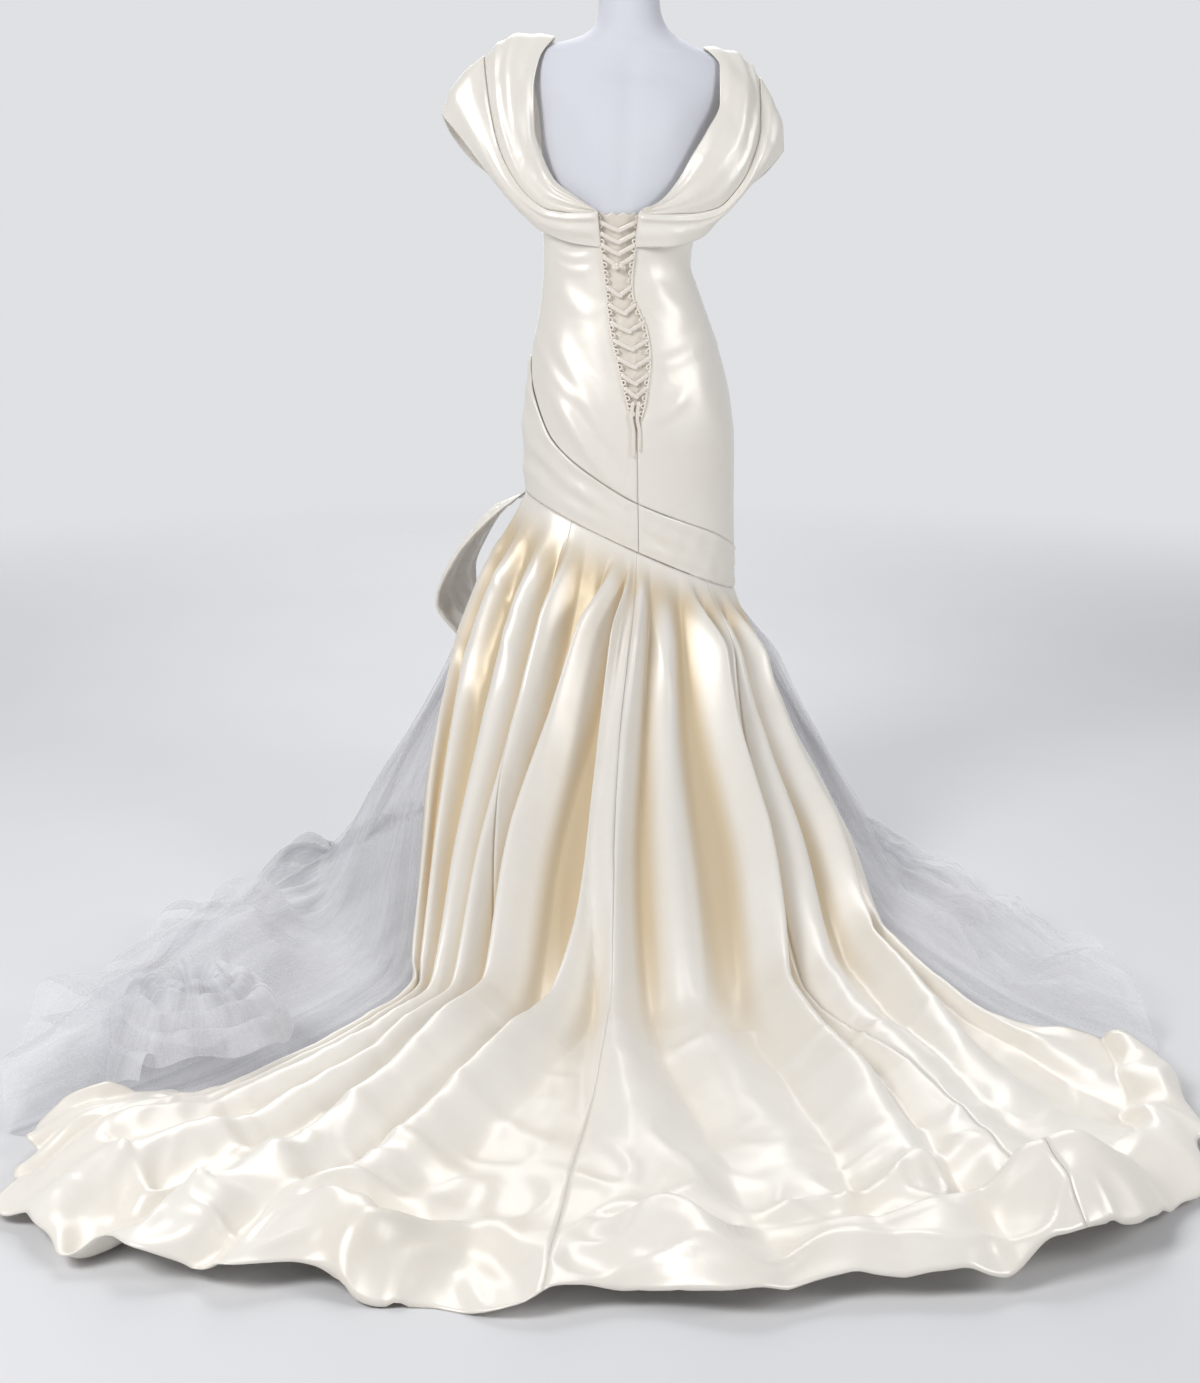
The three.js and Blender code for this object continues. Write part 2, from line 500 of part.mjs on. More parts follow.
// The tulle's first row runs under the satin's free edge.
const tulleLeft = [
  { u: 0.00, angle: 80, kneeX: 258, kneeY: 45, kneeZ: 400, shinX: 312, shinY: 290, shinZ: 140,
    touchX: 312, touchY: 600, midX: 520, midY: 1020, midZ: 0, hemX: 740, hemY: 1215, hemZ: 0 },
  { u: 0.11, angle: 94, kneeX: 290, kneeY: -12, kneeZ: 410, shinX: 378, shinY: 235, shinZ: 182,
    touchX: 400, touchY: 560, midX: 585, midY: 925, midZ: 0, hemX: 848, hemY: 1200, hemZ: 0 },
  { u: 0.24, angle: 103, kneeX: 300, kneeY: -30, kneeZ: 400, shinX: 432, shinY: 60, shinZ: 178,
    touchX: 540, touchY: 280, midX: 655, midY: 720, midZ: 110, hemX: 884, hemY: 1060, hemZ: 30 },
  { u: 0.38, angle: 114, kneeX: 298, kneeY: -66, kneeZ: 385, shinX: 432, shinY: -20, shinZ: 175,
    touchX: 570, touchY: 90, midX: 672, midY: 420, midZ: 24, hemX: 822, hemY: 700, hemZ: 20 },
  { u: 0.50, angle: 125, kneeX: 272, kneeY: -112, kneeZ: 370, shinX: 390, shinY: -118, shinZ: 170,
    touchX: 520, touchY: -80, midX: 615, midY: 100, midZ: 0, hemX: 725, hemY: 360, hemZ: 0 },
  { u: 0.62, angle: 138, kneeX: 228, kneeY: -160, kneeZ: 355, shinX: 322, shinY: -204, shinZ: 165,
    touchX: 430, touchY: -220, midX: 500, midY: -150, midZ: 0, hemX: 575, hemY: 20, hemZ: 0 },
  { u: 0.75, angle: 152, kneeX: 156, kneeY: -206, kneeZ: 345, shinX: 224, shinY: -278, shinZ: 160,
    touchX: 302, touchY: -345, midX: 356, midY: -366, midZ: 0, hemX: 405, hemY: -320, hemZ: 0 },
  { u: 0.88, angle: 166, kneeX: 76, kneeY: -233, kneeZ: 340, shinX: 110, shinY: -326, shinZ: 158,
    touchX: 148, touchY: -412, midX: 182, midY: -462, midZ: 0, hemX: 208, hemY: -482, hemZ: 0 },
  { u: 1.00, angle: 179.85, kneeX: 0.4, kneeY: -240, kneeZ: 340, shinX: 0.4, shinY: -338, shinZ: 158,
    touchX: 0.4, touchY: -432, midX: 0.4, midY: -485, midZ: 0, hemX: 0.4, hemY: -530, hemZ: 0 },
];
const tulleRight = [
  { u: 0.00, angle: -80, kneeX: -212, kneeY: 52, kneeZ: 292, shinX: -306, shinY: 200, shinZ: 60,
    touchX: -365, touchY: 450, midX: -500, midY: 830, midZ: 0, hemX: -690, hemY: 1020, hemZ: 0 },
  { u: 0.13, angle: -94, kneeX: -257, kneeY: -18, kneeZ: 312, shinX: -360, shinY: 100, shinZ: 124,
    touchX: -462, touchY: 375, midX: -596, midY: 715, midZ: 0, hemX: -768, hemY: 945, hemZ: 0 },
  { u: 0.27, angle: -106, kneeX: -284, kneeY: -42, kneeZ: 320, shinX: -395, shinY: 20, shinZ: 140,
    touchX: -500, touchY: 150, midX: -616, midY: 470, midZ: 20, hemX: -758, hemY: 715, hemZ: 12 },
  { u: 0.41, angle: -118, kneeX: -278, kneeY: -86, kneeZ: 325, shinX: -376, shinY: -64, shinZ: 145,
    touchX: -476, touchY: -10, midX: -566, midY: 200, midZ: 0, hemX: -676, hemY: 420, hemZ: 0 },
  { u: 0.56, angle: -131, kneeX: -246, kneeY: -138, kneeZ: 330, shinX: -333, shinY: -153, shinZ: 150,
    touchX: -426, touchY: -142, midX: -504, midY: -60, midZ: 0, hemX: -586, hemY: 95, hemZ: 0 },
  { u: 0.71, angle: -146, kneeX: -187, kneeY: -188, kneeZ: 335, shinX: -258, shinY: -241, shinZ: 154,
    touchX: -344, touchY: -290, midX: -400, midY: -276, midZ: 0, hemX: -454, hemY: -206, hemZ: 0 },
  { u: 0.86, angle: -163, kneeX: -100, kneeY: -224, kneeZ: 339, shinX: -140, shinY: -307, shinZ: 157,
    touchX: -184, touchY: -398, midX: -222, midY: -440, midZ: 0, hemX: -258, hemY: -446, hemZ: 0 },
  { u: 1.00, angle: -179.85, kneeX: -0.4, kneeY: -240, kneeZ: 340, shinX: -0.4, shinY: -338, shinZ: 158,
    touchX: -0.4, touchY: -432, midX: -0.4, midY: -485, midZ: 0, hemX: -0.4, hemY: -530, hemZ: 0 },
];
const stations = { seam: 0, knee: 0.2, shin: 0.36, touch: 0.54, mid: 0.78, hem: 1 };

// The cloth's smooth run from seam to hem, before its folds. It never goes below rest height.
function lay(table, u, v, restHeight, out) {
  const angle = read(table, 'u', u, 'angle');
  const start = onFigure(angle, seamHeight(angle) - seamGap, out);
  const column = (name) => read(table, 'u', u, name);
  const line = [
    { v: stations.seam, x: start.x, y: start.y, z: start.z },
    { v: stations.knee, x: column('kneeX'), y: column('kneeY'), z: column('kneeZ') },
    { v: stations.shin, x: column('shinX'), y: column('shinY'), z: column('shinZ') },
    { v: stations.touch, x: column('touchX'), y: column('touchY'), z: restHeight },
    { v: stations.mid, x: column('midX'), y: column('midY'), z: restHeight + column('midZ') },
    { v: stations.hem, x: column('hemX'), y: column('hemY'), z: restHeight + column('hemZ') },
  ];
  const at = (axis) => read(line, 'v', v, axis);
  return point(at('x'), at('y'), at('z'));
}

// Height of the folds and their sideways push at (u, v).
function foldsAt(folds, u, v) {
  let rise = 0;
  let push = 0;
  for (const fold of folds) {
    const middle = lerp(fold.top, fold.hem, v);
    const half = lerp(fold.halfTop, fold.halfHem, v);
    const shape = bump((u - middle) / half);
    const grown = fold.rise * smooth(v / 0.16) * (1 - 0.45 * smooth((v - 0.8) / 0.2));
    rise = Math.max(rise, grown * shape);
    push += fold.lean * grown * shape;
  }
  return { rise, push };
}

function skirtSurface(table, folds, facing, restAt, out) {
  const smoothRun = (u, v) => lay(table, u, v, restAt(u), out);
  return (u, v) => {
    const { rise, push } = foldsAt(folds, u, v);
    const normal = normalAt(smoothRun, u, clamp(v, foldStep, 1 - foldStep), facing, foldStep);
    const across = smoothRun(u + 0.004, v).sub(smoothRun(u - 0.004, v)).normalize();
    const face = smoothRun(u, v).addScaledVector(normal, rise).addScaledVector(across, -push);
    face.z = Math.max(face.z, restAt(u));
    return face;
  };
}

function makeSkirt() {
  // The free edges lie on the tulle, the middle on the floor.
  const restAt = (u) => satinThickness + 0.3 + liftOnTulle * (1 - smooth(u / 0.16) * smooth((1 - u) / 0.16));
  const surface = skirtSurface(train, trainFolds, -1, restAt, 0);
  const seams = [0, 0.295, 0.515, 0.765, 1];
  const names = ['skirt_side_left', 'skirt_back_left', 'skirt_back_right', 'skirt_side_right'];
  const across = [11, 9, 10, 9];
  names.forEach((name, k) => {
    const gap = 0.0006;
    const range = { u0: seams[k] + gap, u1: seams[k + 1] - gap };
    add(name, clothWall(surface, across[k], 16, satinThickness, -1, range), ivorySatin);
  });
}

// The loop of satin at the left hip: from the skirt's free edge round to the front of the hip.
function makeHipLoop() {
  const edge = new THREE.CatmullRomCurve3([
    point(186, -9, 695.6), point(262, -16, 636), point(330, -16, 552), point(354, -14, 487), point(314, -18, 424)]);
  const crown = new THREE.CatmullRomCurve3([
    point(181, -27, 692.8), point(252, -64, 648), point(312, -74, 566), point(336, -72, 500), point(306, -68, 444)]);
  const root = new THREE.CatmullRomCurve3([
    point(172, -45, 689.2), point(218, -108, 660), point(264, -128, 592), point(286, -130, 534), point(284, -118, 478)]);
  const surface = (u, v) => {
    const line = [
      { u: 0, p: edge.getPoint(clamp(v, 0, 1)) },
      { u: 0.45, p: crown.getPoint(clamp(v, 0, 1)) },
      { u: 1, p: root.getPoint(clamp(v, 0, 1)) },
    ];
    const at = (axis) => read(line.map((row) => ({ u: row.u, s: row.p[axis] })), 'u', clamp(u, 0, 1), 's');
    return point(at('x'), at('y'), at('z'));
  };
  add('hip_loop', clothWall(surface, 6, 8, satinThickness, -1), ivorySatin);
}

function makeUnderskirt() {
  const first = 0.16;                // the cloth stays flat where the satin lies on it
  const pleats = (count, rise) => Array.from({ length: count }, (_, k) => {
    const middle = lerp(first, 1, (k + 0.5) / count);
    const half = 0.5 * (1 - first) / count;
    return { top: middle, hem: middle, halfTop: half, halfHem: half, rise, lean: 0 };
  });
  const rest = () => tulleThickness + 0.3;
  const left = skirtSurface(tulleLeft, pleats(7, 22), 1, rest, -5);
  const right = skirtSurface(tulleRight, pleats(6, 22), -1, rest, -5);
  add('tulle_left', clothWall(left, 16, 12, tulleThickness, 1), whiteTulle);
  add('tulle_right', clothWall(right, 14, 12, tulleThickness, -1), whiteTulle);
}

makeForm();
makeBodice();
makeDrapes();
makeLacing();
makeSkirt();
makeHipLoop();
makeUnderskirt();

export default dress;
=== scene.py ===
# An ivory satin mermaid gown with a laced back and a long train, on a plain dress form.
import math
import bpy
import numpy as np
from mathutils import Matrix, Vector


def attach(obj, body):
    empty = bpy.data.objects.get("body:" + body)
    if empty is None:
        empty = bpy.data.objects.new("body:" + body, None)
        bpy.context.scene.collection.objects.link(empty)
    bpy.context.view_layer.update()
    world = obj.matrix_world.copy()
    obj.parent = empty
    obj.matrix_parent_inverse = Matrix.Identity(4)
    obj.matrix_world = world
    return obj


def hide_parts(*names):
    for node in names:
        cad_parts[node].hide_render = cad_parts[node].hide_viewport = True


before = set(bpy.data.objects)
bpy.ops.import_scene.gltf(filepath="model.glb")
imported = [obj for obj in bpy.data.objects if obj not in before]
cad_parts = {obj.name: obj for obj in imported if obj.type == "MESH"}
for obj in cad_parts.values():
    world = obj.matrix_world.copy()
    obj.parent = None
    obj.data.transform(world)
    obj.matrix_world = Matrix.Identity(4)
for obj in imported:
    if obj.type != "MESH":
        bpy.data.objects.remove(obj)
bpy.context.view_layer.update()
print("frame loaded")

view = {"place": (0.054, 4.0, 1.30), "pitch": 13.7, "lens": 58.31}


def makeCamera():
    lens = bpy.data.cameras.new("viewCamera")
    lens.lens = view["lens"]
    lens.sensor_width = 36
    camera = bpy.data.objects.new("viewCamera", lens)
    camera.location = view["place"]
    camera.rotation_euler = (math.radians(90 - view["pitch"]), 0, math.radians(180))
    bpy.context.scene.collection.objects.link(camera)
    bpy.context.scene.camera = camera


makeCamera()


def ease(x):
    x = np.clip(x, 0, 1)
    return x * x * (3 - 2 * x)


def through(keys, values, at):
    # Cubic through the values at the keys. Each inner slope is the harmonic mean of its two secants, or 0.
    keys = np.asarray(keys, float)
    values = np.asarray(values, float)
    secant = np.diff(values) / np.diff(keys)
    before, after = secant[..., :-1], secant[..., 1:]
    both = np.where(before + after == 0, 1, before + after)
    inner = np.where(before * after > 0, 2 * before * after / both, 0)
    slope = np.concatenate([secant[..., :1], inner, secant[..., -1:]], axis=-1)
    at = np.clip(at, keys[0], keys[-1])
    i = np.clip(np.searchsorted(keys, at, side="right") - 1, 0, len(keys) - 2)
    span = keys[i + 1] - keys[i]
    t = (at - keys[i]) / span
    return ((2 * t**3 - 3 * t**2 + 1) * values[..., i]
            + (t**3 - 2 * t**2 + t) * slope[..., i] * span
            + (3 * t**2 - 2 * t**3) * values[..., i + 1]
            + (t**3 - t**2) * slope[..., i + 1] * span)


def waves(x, y, size, seed, count=12):
    # A seeded sum of sines in random directions, about size apart, with a spread of about 1.
    rng = np.random.default_rng(seed)
    total = 0
    for _ in range(count):
        angle, phase, scale = rng.uniform(0, math.tau), rng.uniform(0, math.tau), rng.uniform(0.65, 1.5)
        along = x * math.cos(angle) + y * math.sin(angle)
        total = total + np.sin(math.tau * along / (size * scale) + phase)
    return total / math.sqrt(count / 2)


def creases(x, y, size, seed, sharp=2.2):
    # Soft-backed ridges along the zero lines of waves: exp(-(waves * sharp) ** 2).
    return np.exp(-((waves(x, y, size, seed) * sharp) ** 2))


def normalsOf(points, facing, passes=0):
    # Cross product of the grid's two differences, evened out along the cloth by 1-2-1 averages.
    du, dv = np.gradient(points, axis=0), np.gradient(points, axis=1)
    n = np.cross(du, dv) * facing
    n /= np.maximum(np.linalg.norm(n, axis=-1, keepdims=True), 1e-12)
    for _ in range(passes):
        padded = np.concatenate([n[:, :1], n, n[:, -1:]], axis=1)
        n = (padded[:, :-2] + 2 * padded[:, 1:-1] + padded[:, 2:]) / 4
    return n / np.maximum(np.linalg.norm(n, axis=-1, keepdims=True), 1e-12)


def unit(a):
    return a / np.maximum(np.linalg.norm(a, axis=-1, keepdims=True), 1e-12)


def lerp(a, b, t):
    return a + (b - a) * t


def gridMesh(name, points, facing=1, closedU=False, hollow=None):
    # points[u, v, xyz] becomes one sheet of quads with a UV map in metres of cloth.
    # The optional per-point float is painted shade: 1 at the foot of a fold and 0 on its back, where it darkens and
    # warms the satin colour.
    nu, nv = points.shape[:2]
    mesh = bpy.data.meshes.new(name)
    index = np.arange(nu * nv).reshape(nu, nv)
    if closedU:
        index = np.concatenate([index, index[:1]], axis=0)
    a, b, c, d = index[:-1, :-1], index[1:, :-1], index[1:, 1:], index[:-1, 1:]
    quads = np.stack([a, b, c, d] if facing > 0 else [a, d, c, b], axis=-1).reshape(-1, 4)
    mesh.vertices.add(nu * nv)
    mesh.vertices.foreach_set("co", points.reshape(-1).astype(np.float32))
    mesh.loops.add(quads.size)
    mesh.loops.foreach_set("vertex_index", quads.reshape(-1).astype(np.int32))
    mesh.polygons.add(len(quads))
    mesh.polygons.foreach_set("loop_start", np.arange(0, quads.size, 4, dtype=np.int32))
    mesh.polygons.foreach_set("loop_total", np.full(len(quads), 4, dtype=np.int32))
    mesh.polygons.foreach_set("use_smooth", np.ones(len(quads), dtype=bool))
    mesh.update(calc_edges=True)
    lengthU = np.linalg.norm(np.diff(points[:, nv // 2], axis=0), axis=-1).sum()
    lengthV = np.linalg.norm(np.diff(points[nu // 2], axis=0), axis=-1).sum()
    uv = np.stack(np.meshgrid(np.linspace(0, lengthU, nu), np.linspace(0, lengthV, nv), indexing="ij"), -1)
    layer = mesh.uv_layers.new(name="UVMap")
    layer.data.foreach_set("uv", uv.reshape(-1, 2)[quads.reshape(-1)].reshape(-1).astype(np.float32))
    if hollow is not None:
        depth = mesh.attributes.new("hollow", "FLOAT", "POINT")
        depth.data.foreach_set("value", hollow.reshape(-1).astype(np.float32))
    mesh.validate()
    piece = bpy.data.objects.new(name, mesh)
    bpy.context.scene.collection.objects.link(piece)
    return piece


def finishPiece(piece, material, nodes=(), wall=0):
    piece.data.materials.clear()
    piece.data.materials.append(material)
    if wall:
        solid = piece.modifiers.new("wall", "SOLIDIFY")
        solid.thickness = wall
        solid.offset = -1              # the wall grows inwards from the cloth's face
    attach(piece, "root")
    if nodes:
        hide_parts(*nodes)
    return piece


def joined(name, parts):
    # One mesh from several [points, quads] pairs.
    points, faces, start = [], [], 0
    for p, f in parts:
        points.append(p)
        faces.append(f + start)
        start += len(p)
    mesh = bpy.data.meshes.new(name)
    mesh.from_pydata(np.concatenate(points).tolist(), [], np.concatenate(faces).tolist())
    mesh.polygons.foreach_set("use_smooth", np.ones(len(mesh.polygons), dtype=bool))
    mesh.update()
    piece = bpy.data.objects.new(name, mesh)
    bpy.context.scene.collection.objects.link(piece)
    return piece


def sweep(path, side, out, width, thick, around=10):
    # A closed strip along a path: an ellipse of width x thick in the plane of side and out, its ends drawn in.
    n = len(path)
    angle = np.linspace(0, math.tau, around, endpoint=False)
    taper = np.ones(n)
    taper[[0, -1]] = 0.04
    taper[[1, -2]] = 0.8
    ring = (side[:, None] * (np.cos(angle) * width / 2)[None, :, None]
            + out[:, None] * (np.sin(angle) * thick / 2)[None, :, None])
    points = (path[:, None] + ring * taper[:, None, None]).reshape(-1, 3)
    i, k = np.meshgrid(np.arange(n - 1), np.arange(around), indexing="ij")
    k2 = (k + 1) % around
    quads = np.stack([i * around + k, i * around + k2, (i + 1) * around + k2, (i + 1) * around + k], -1)
    return points, quads.reshape(-1, 4)


def evenPath(points, count):
    # Points evenly spread by arc length along the smooth curve through a few.
    points = np.asarray(points, float)
    keys = np.concatenate([[0], np.cumsum(np.linalg.norm(np.diff(points, axis=0), axis=-1))])
    return through(keys, points.T, np.linspace(0, keys[-1], count)).T


class Wire:
    # A value socket that takes Python's operators, each adding one Math node.
    def __init__(self, tree, socket):
        self.tree, self.socket = tree, socket

    def maths(self, operation, other, swapped=False):
        node = self.tree.nodes.new("ShaderNodeMath")
        node.operation = operation
        order = (other, self) if swapped else (self, other)
        for slotIn, value in zip(node.inputs, order):
            if isinstance(value, Wire):
                self.tree.links.new(value.socket, slotIn)
            elif value is not None:
                slotIn.default_value = value
        return Wire(self.tree, node.outputs[0])

    def __add__(self, other):
        return self.maths("ADD", other)

    def __radd__(self, other):
        return self.maths("ADD", other, True)

    def __sub__(self, other):
        return self.maths("SUBTRACT", other)

    def __rsub__(self, other):
        return self.maths("SUBTRACT", other, True)

    def __mul__(self, other):
        return self.maths("MULTIPLY", other)

    def __rmul__(self, other):
        return self.maths("MULTIPLY", other, True)


class Finish:
    # A material with its shader, and one method for every other node.
    def __init__(self, name):
        self.material = bpy.data.materials.new(name)
        self.material.use_nodes = True
        self.tree = self.material.node_tree
        self.shader = self.tree.nodes["Principled BSDF"]

    def node(self, kind, settings=None, sockets=None, output=0):
        node = self.tree.nodes.new(kind)
        for key, value in (settings or {}).items():
            if key == "stops":
                ramp = node.color_ramp
                while len(ramp.elements) < len(value):
                    ramp.elements.new(0.5)
                for element, (place, colour) in zip(ramp.elements, value):
                    element.position = place
                    element.color = (*colour, 1)
            else:
                setattr(node, key, value)
        for key, value in (sockets or {}).items():
            self.put(node.inputs[key], value)
        return Wire(self.tree, node.outputs[output])

    def put(self, socket, value):
        if isinstance(value, Wire):
            self.tree.links.new(value.socket, socket)
        elif isinstance(value, tuple) and len(value) == 3 and socket.type == "RGBA":
            socket.default_value = (*value, 1)
        else:
            socket.default_value = value

    def set(self, **values):
        for key, value in values.items():
            self.put(self.shader.inputs[key.replace("_", " ")], value)
        return self

    def mix(self, factor, a, b):
        return self.node("ShaderNodeMix", {"data_type": "RGBA"}, {0: factor, 6: a, 7: b}, 2)


def satinFinish(name, light, deep, rough, seed):
    # Fine twill of the weave, soft clouding of the colour, painted shade in the fold valleys and a faint crease bump,
    # on the cloth's own UV.
    f = Finish(name)
    place = f.node("ShaderNodeTexCoord", output=2)
    body = f.node("ShaderNodeTexCoord", output=3)
    cloud = f.node("ShaderNodeTexNoise", None, {"Vector": body, "Scale": 5.0 + seed, "Detail": 4.0})
    slub = f.node("ShaderNodeTexNoise", None, {"Vector": body, "Scale": 46.0, "Detail": 5.0, "Roughness": 0.6})
    stretch = f.node("ShaderNodeMapping", None, {"Vector": place, "Scale": (900.0, 160.0, 1.0)})
    thread = f.node("ShaderNodeTexNoise", None, {"Vector": stretch, "Scale": 1.0, "Detail": 2.0})
    blend = cloud * 0.75 + slub * 0.25
    clouded = f.node("ShaderNodeValToRGB", {"stops": [(0.30, deep), (0.70, light)]}, {"Fac": blend})
    # Painted shade: the per-point float, 1 in the foot of each fold, mixes the colour towards a dark warm beige
    # there.
    hollow = f.node("ShaderNodeAttribute", {"attribute_name": "hollow"}, None, 2)
    colour = f.mix(hollow * 0.95, clouded, (0.70, 0.56, 0.36))
    height = slub * 0.35 + thread * 0.10
    bump = f.node("ShaderNodeBump", None, {"Height": height, "Strength": 0.16, "Distance": 0.004})
    f.set(Base_Color=colour, Roughness=rough + 0.10 * (slub - 0.5), Normal=bump)
    f.set(Sheen_Weight=0.10, Sheen_Roughness=0.4, Specular_IOR_Level=0.50, Metallic=0.08)
    return f.material


def tulleFinish(name, cover):
    # A hexagon-like net of fine threads over a clear ground, thicker where it is creased.
    f = Finish(name)
    place = f.node("ShaderNodeTexCoord", output=2)
    body = f.node("ShaderNodeTexCoord", output=3)
    net = f.node("ShaderNodeTexVoronoi", {"feature": "DISTANCE_TO_EDGE"}, {"Vector": place, "Scale": 420.0})
    threads = f.node("ShaderNodeMapRange", None, {"Value": net, "From Min": 0.02, "From Max": 0.12,
                                                 "To Min": 1.0, "To Max": 0.0})
    long = f.node("ShaderNodeMapping", None, {"Vector": place, "Scale": (26.0, 2.2, 1.0)})
    streak = f.node("ShaderNodeTexNoise", None, {"Vector": long, "Scale": 1.0, "Detail": 6.0, "Roughness": 0.62})
    cloud = f.node("ShaderNodeTexNoise", None, {"Vector": body, "Scale": 7.0, "Detail": 3.0})
    crease = f.node("ShaderNodeMapRange", None, {"Value": streak, "From Min": 0.42, "From Max": 0.72,
                                                "To Min": 0.0, "To Max": 0.34})
    alpha = crease + threads * 0.10 + cloud * 0.10 + cover
    colour = f.mix(cloud, (0.80, 0.80, 0.84), (0.90, 0.90, 0.93))
    bump = f.node("ShaderNodeBump", None, {"Height": streak, "Strength": 0.3, "Distance": 0.01})
    f.set(Base_Color=colour, Alpha=alpha, Roughness=0.62, Normal=bump, Sheen_Weight=0.5)
    return f.material


def jerseyFinish():
    f = Finish("formJersey")
    body = f.node("ShaderNodeTexCoord", output=3)
    knit = f.node("ShaderNodeTexNoise", None, {"Vector": body, "Scale": 900.0, "Detail": 2.0})
    cloud = f.node("ShaderNodeTexNoise", None, {"Vector": body, "Scale": 6.0, "Detail": 4.0})
    colour = f.mix(cloud, (0.74, 0.76, 0.83), (0.82, 0.83, 0.88))
    bump = f.node("ShaderNodeBump", None, {"Height": knit * 0.6 + cloud * 0.4, "Strength": 0.14, "Distance": 0.002})
    f.set(Base_Color=colour, Roughness=0.72 + 0.08 * knit, Normal=bump, Sheen_Weight=0.2)
    return f.material


def metalFinish():
    f = Finish("whiteMetal")
    body = f.node("ShaderNodeTexCoord", output=3)
    peel = f.node("ShaderNodeTexNoise", None, {"Vector": body, "Scale": 160.0, "Detail": 3.0})
    dust = f.node("ShaderNodeTexNoise", None, {"Vector": body, "Scale": 14.0, "Detail": 5.0})
    colour = f.mix(dust, (0.68, 0.68, 0.70), (0.78, 0.78, 0.80))
    bump = f.node("ShaderNodeBump", None, {"Height": peel, "Strength": 0.10, "Distance": 0.001})
    f.set(Base_Color=colour, Roughness=0.34 + 0.12 * dust, Normal=bump)
    return f.material


satin = satinFinish("ivorySatin", (0.93, 0.895, 0.835), (0.90, 0.850, 0.765), 0.335, 0)
# A darker, warmer copy of the ivory satin: painted shade for the panel set back behind the lacing.
shadedSatin = satinFinish("shadedSatinPanel", (0.86, 0.81, 0.73), (0.80, 0.74, 0.64), 0.40, 2)
cordSatin = satinFinish("satinCord", (0.92, 0.87, 0.80), (0.86, 0.80, 0.71), 0.36, 1)
tulleOuter = tulleFinish("whiteTulle", 0.10)
tulleInner = tulleFinish("innerTulle", 0.13)
tulleHeap = tulleFinish("heapedTulle", 0.24)
jersey = jerseyFinish()
metal = metalFinish()
print("materials made")

figure = np.array([  # height, half width, depth to the back, depth to the front, sideways shift
    [480, 187, 115, 118, -1], [600, 187, 121, 119, -1], [700, 186, 128, 118, 0], [800, 187, 134, 117, 3],
    [860, 182, 131, 115, 4], [965, 161, 112, 107, 10], [1040, 141, 98, 100, 17], [1101, 129, 92, 99, 24],
    [1150, 133, 96, 109, 21], [1190, 139, 101, 122, 18], [1250, 148, 106, 142, 12], [1300, 154, 108, 140, 8],
]) / 1000


def onFigure(angle, z, out=0.0):
    # An ellipse at each height; angle in degrees from the centre back, out is away from the cloth's face.
    a = np.radians(angle)
    width, back, front, shift = through(figure[:, 0], figure[:, 1:].T, np.ravel(z)).reshape(4, *np.shape(z))
    depth = np.where(np.cos(a) > 0, back, front)
    return np.stack([shift + (width + out) * np.sin(a), (depth + out) * np.cos(a), z + 0 * a], -1)


def angleOf(x, z):
    width, shift = through(figure[:, 0], figure[:, [1, 4]].T, np.ravel(z)).reshape(2, *np.shape(z))
    return np.degrees(np.arcsin(np.clip((x - shift) / width, -1, 1)))


def seamHeight(angle):
    return 0.611 + 0.087 * np.sin(np.radians(angle))


bandTopRows = np.array([
    [-180, 700], [-135, 642], [-90, 598], [-45, 640], [-5, 690], [20, 738], [45, 798], [65, 878],
    [90, 940], [120, 880], [150, 772], [180, 700]], float)


def bandTop(angle):
    return through(bandTopRows[:, 0], bandTopRows[:, 1] / 1000, np.ravel(angle)).reshape(np.shape(angle))


openingRows = np.array([  # height, left edge x, right edge x
    [500, -15.6, -16.4], [815, -9.6, -10.4], [870, 6, -22], [940, 23, -30], [990, 34, -24], [1060, 42, 2],
    [1130, 50, -4], [1188, 58, -12]]) / 1000


def openingEdge(z, side):
    column = 1 if side > 0 else 2
    return through(openingRows[:, 0], openingRows[:, column], np.ravel(z)).reshape(np.shape(z))


bodice = {"top": 1.181, "frontTop": 1.236, "gap": 0.0005, "wall": 0.002, "proud": 0.0016, "bandWall": 0.0026}
pulls = [  # soft folds of the bodice: from x, z to x, z, half width, height
    (0.152, 1.015, 0.000, 0.742, 0.020, 0.0042), (0.165, 0.945, 0.030, 0.735, 0.016, 0.0040),
    (0.172, 0.990, 0.075, 0.850, 0.011, 0.0032), (0.135, 0.900, -0.008, 0.690, 0.014, 0.0036),
    (0.140, 1.128, 0.060, 1.120, 0.007, 0.0020), (0.138, 1.108, 0.060, 1.096, 0.008, 0.0018),
    (0.132, 1.075, 0.050, 1.010, 0.016, 0.0020), (-0.030, 1.075, -0.125, 1.010, 0.018, 0.0022),
    (-0.028, 0.930, -0.150, 0.985, 0.016, 0.0026), (-0.012, 0.835, -0.110, 0.900, 0.014, 0.0024),
    (-0.120, 0.960, -0.160, 0.800, 0.020, 0.0026)]


def bodiceRelief(x, z):
    # Each pull is a ridge of exp(-(distance / width) ** 2) that fades at its two ends.
    total = 0.0006 * waves(x, z, 0.16, 5) + 0.0003 * creases(x, z, 0.09, 6)
    for x0, z0, x1, z1, width, height in pulls:
        dx, dz = x1 - x0, z1 - z0
        length = math.hypot(dx, dz)
        along = ((x - x0) * dx + (z - z0) * dz) / length**2
        bend = 0.012 * np.sin(math.pi * np.clip(along, 0, 1))
        across = ((x - x0) * dz - (z - z0) * dx) / length + bend
        ends = ease(along / 0.25) * ease((1 - along) / 0.35)
        total = total + height * np.exp(-((across / width) ** 2)) * ends
        total = total - 0.45 * height * np.exp(-(((across - 1.6 * width) / width) ** 2)) * ends
    return total


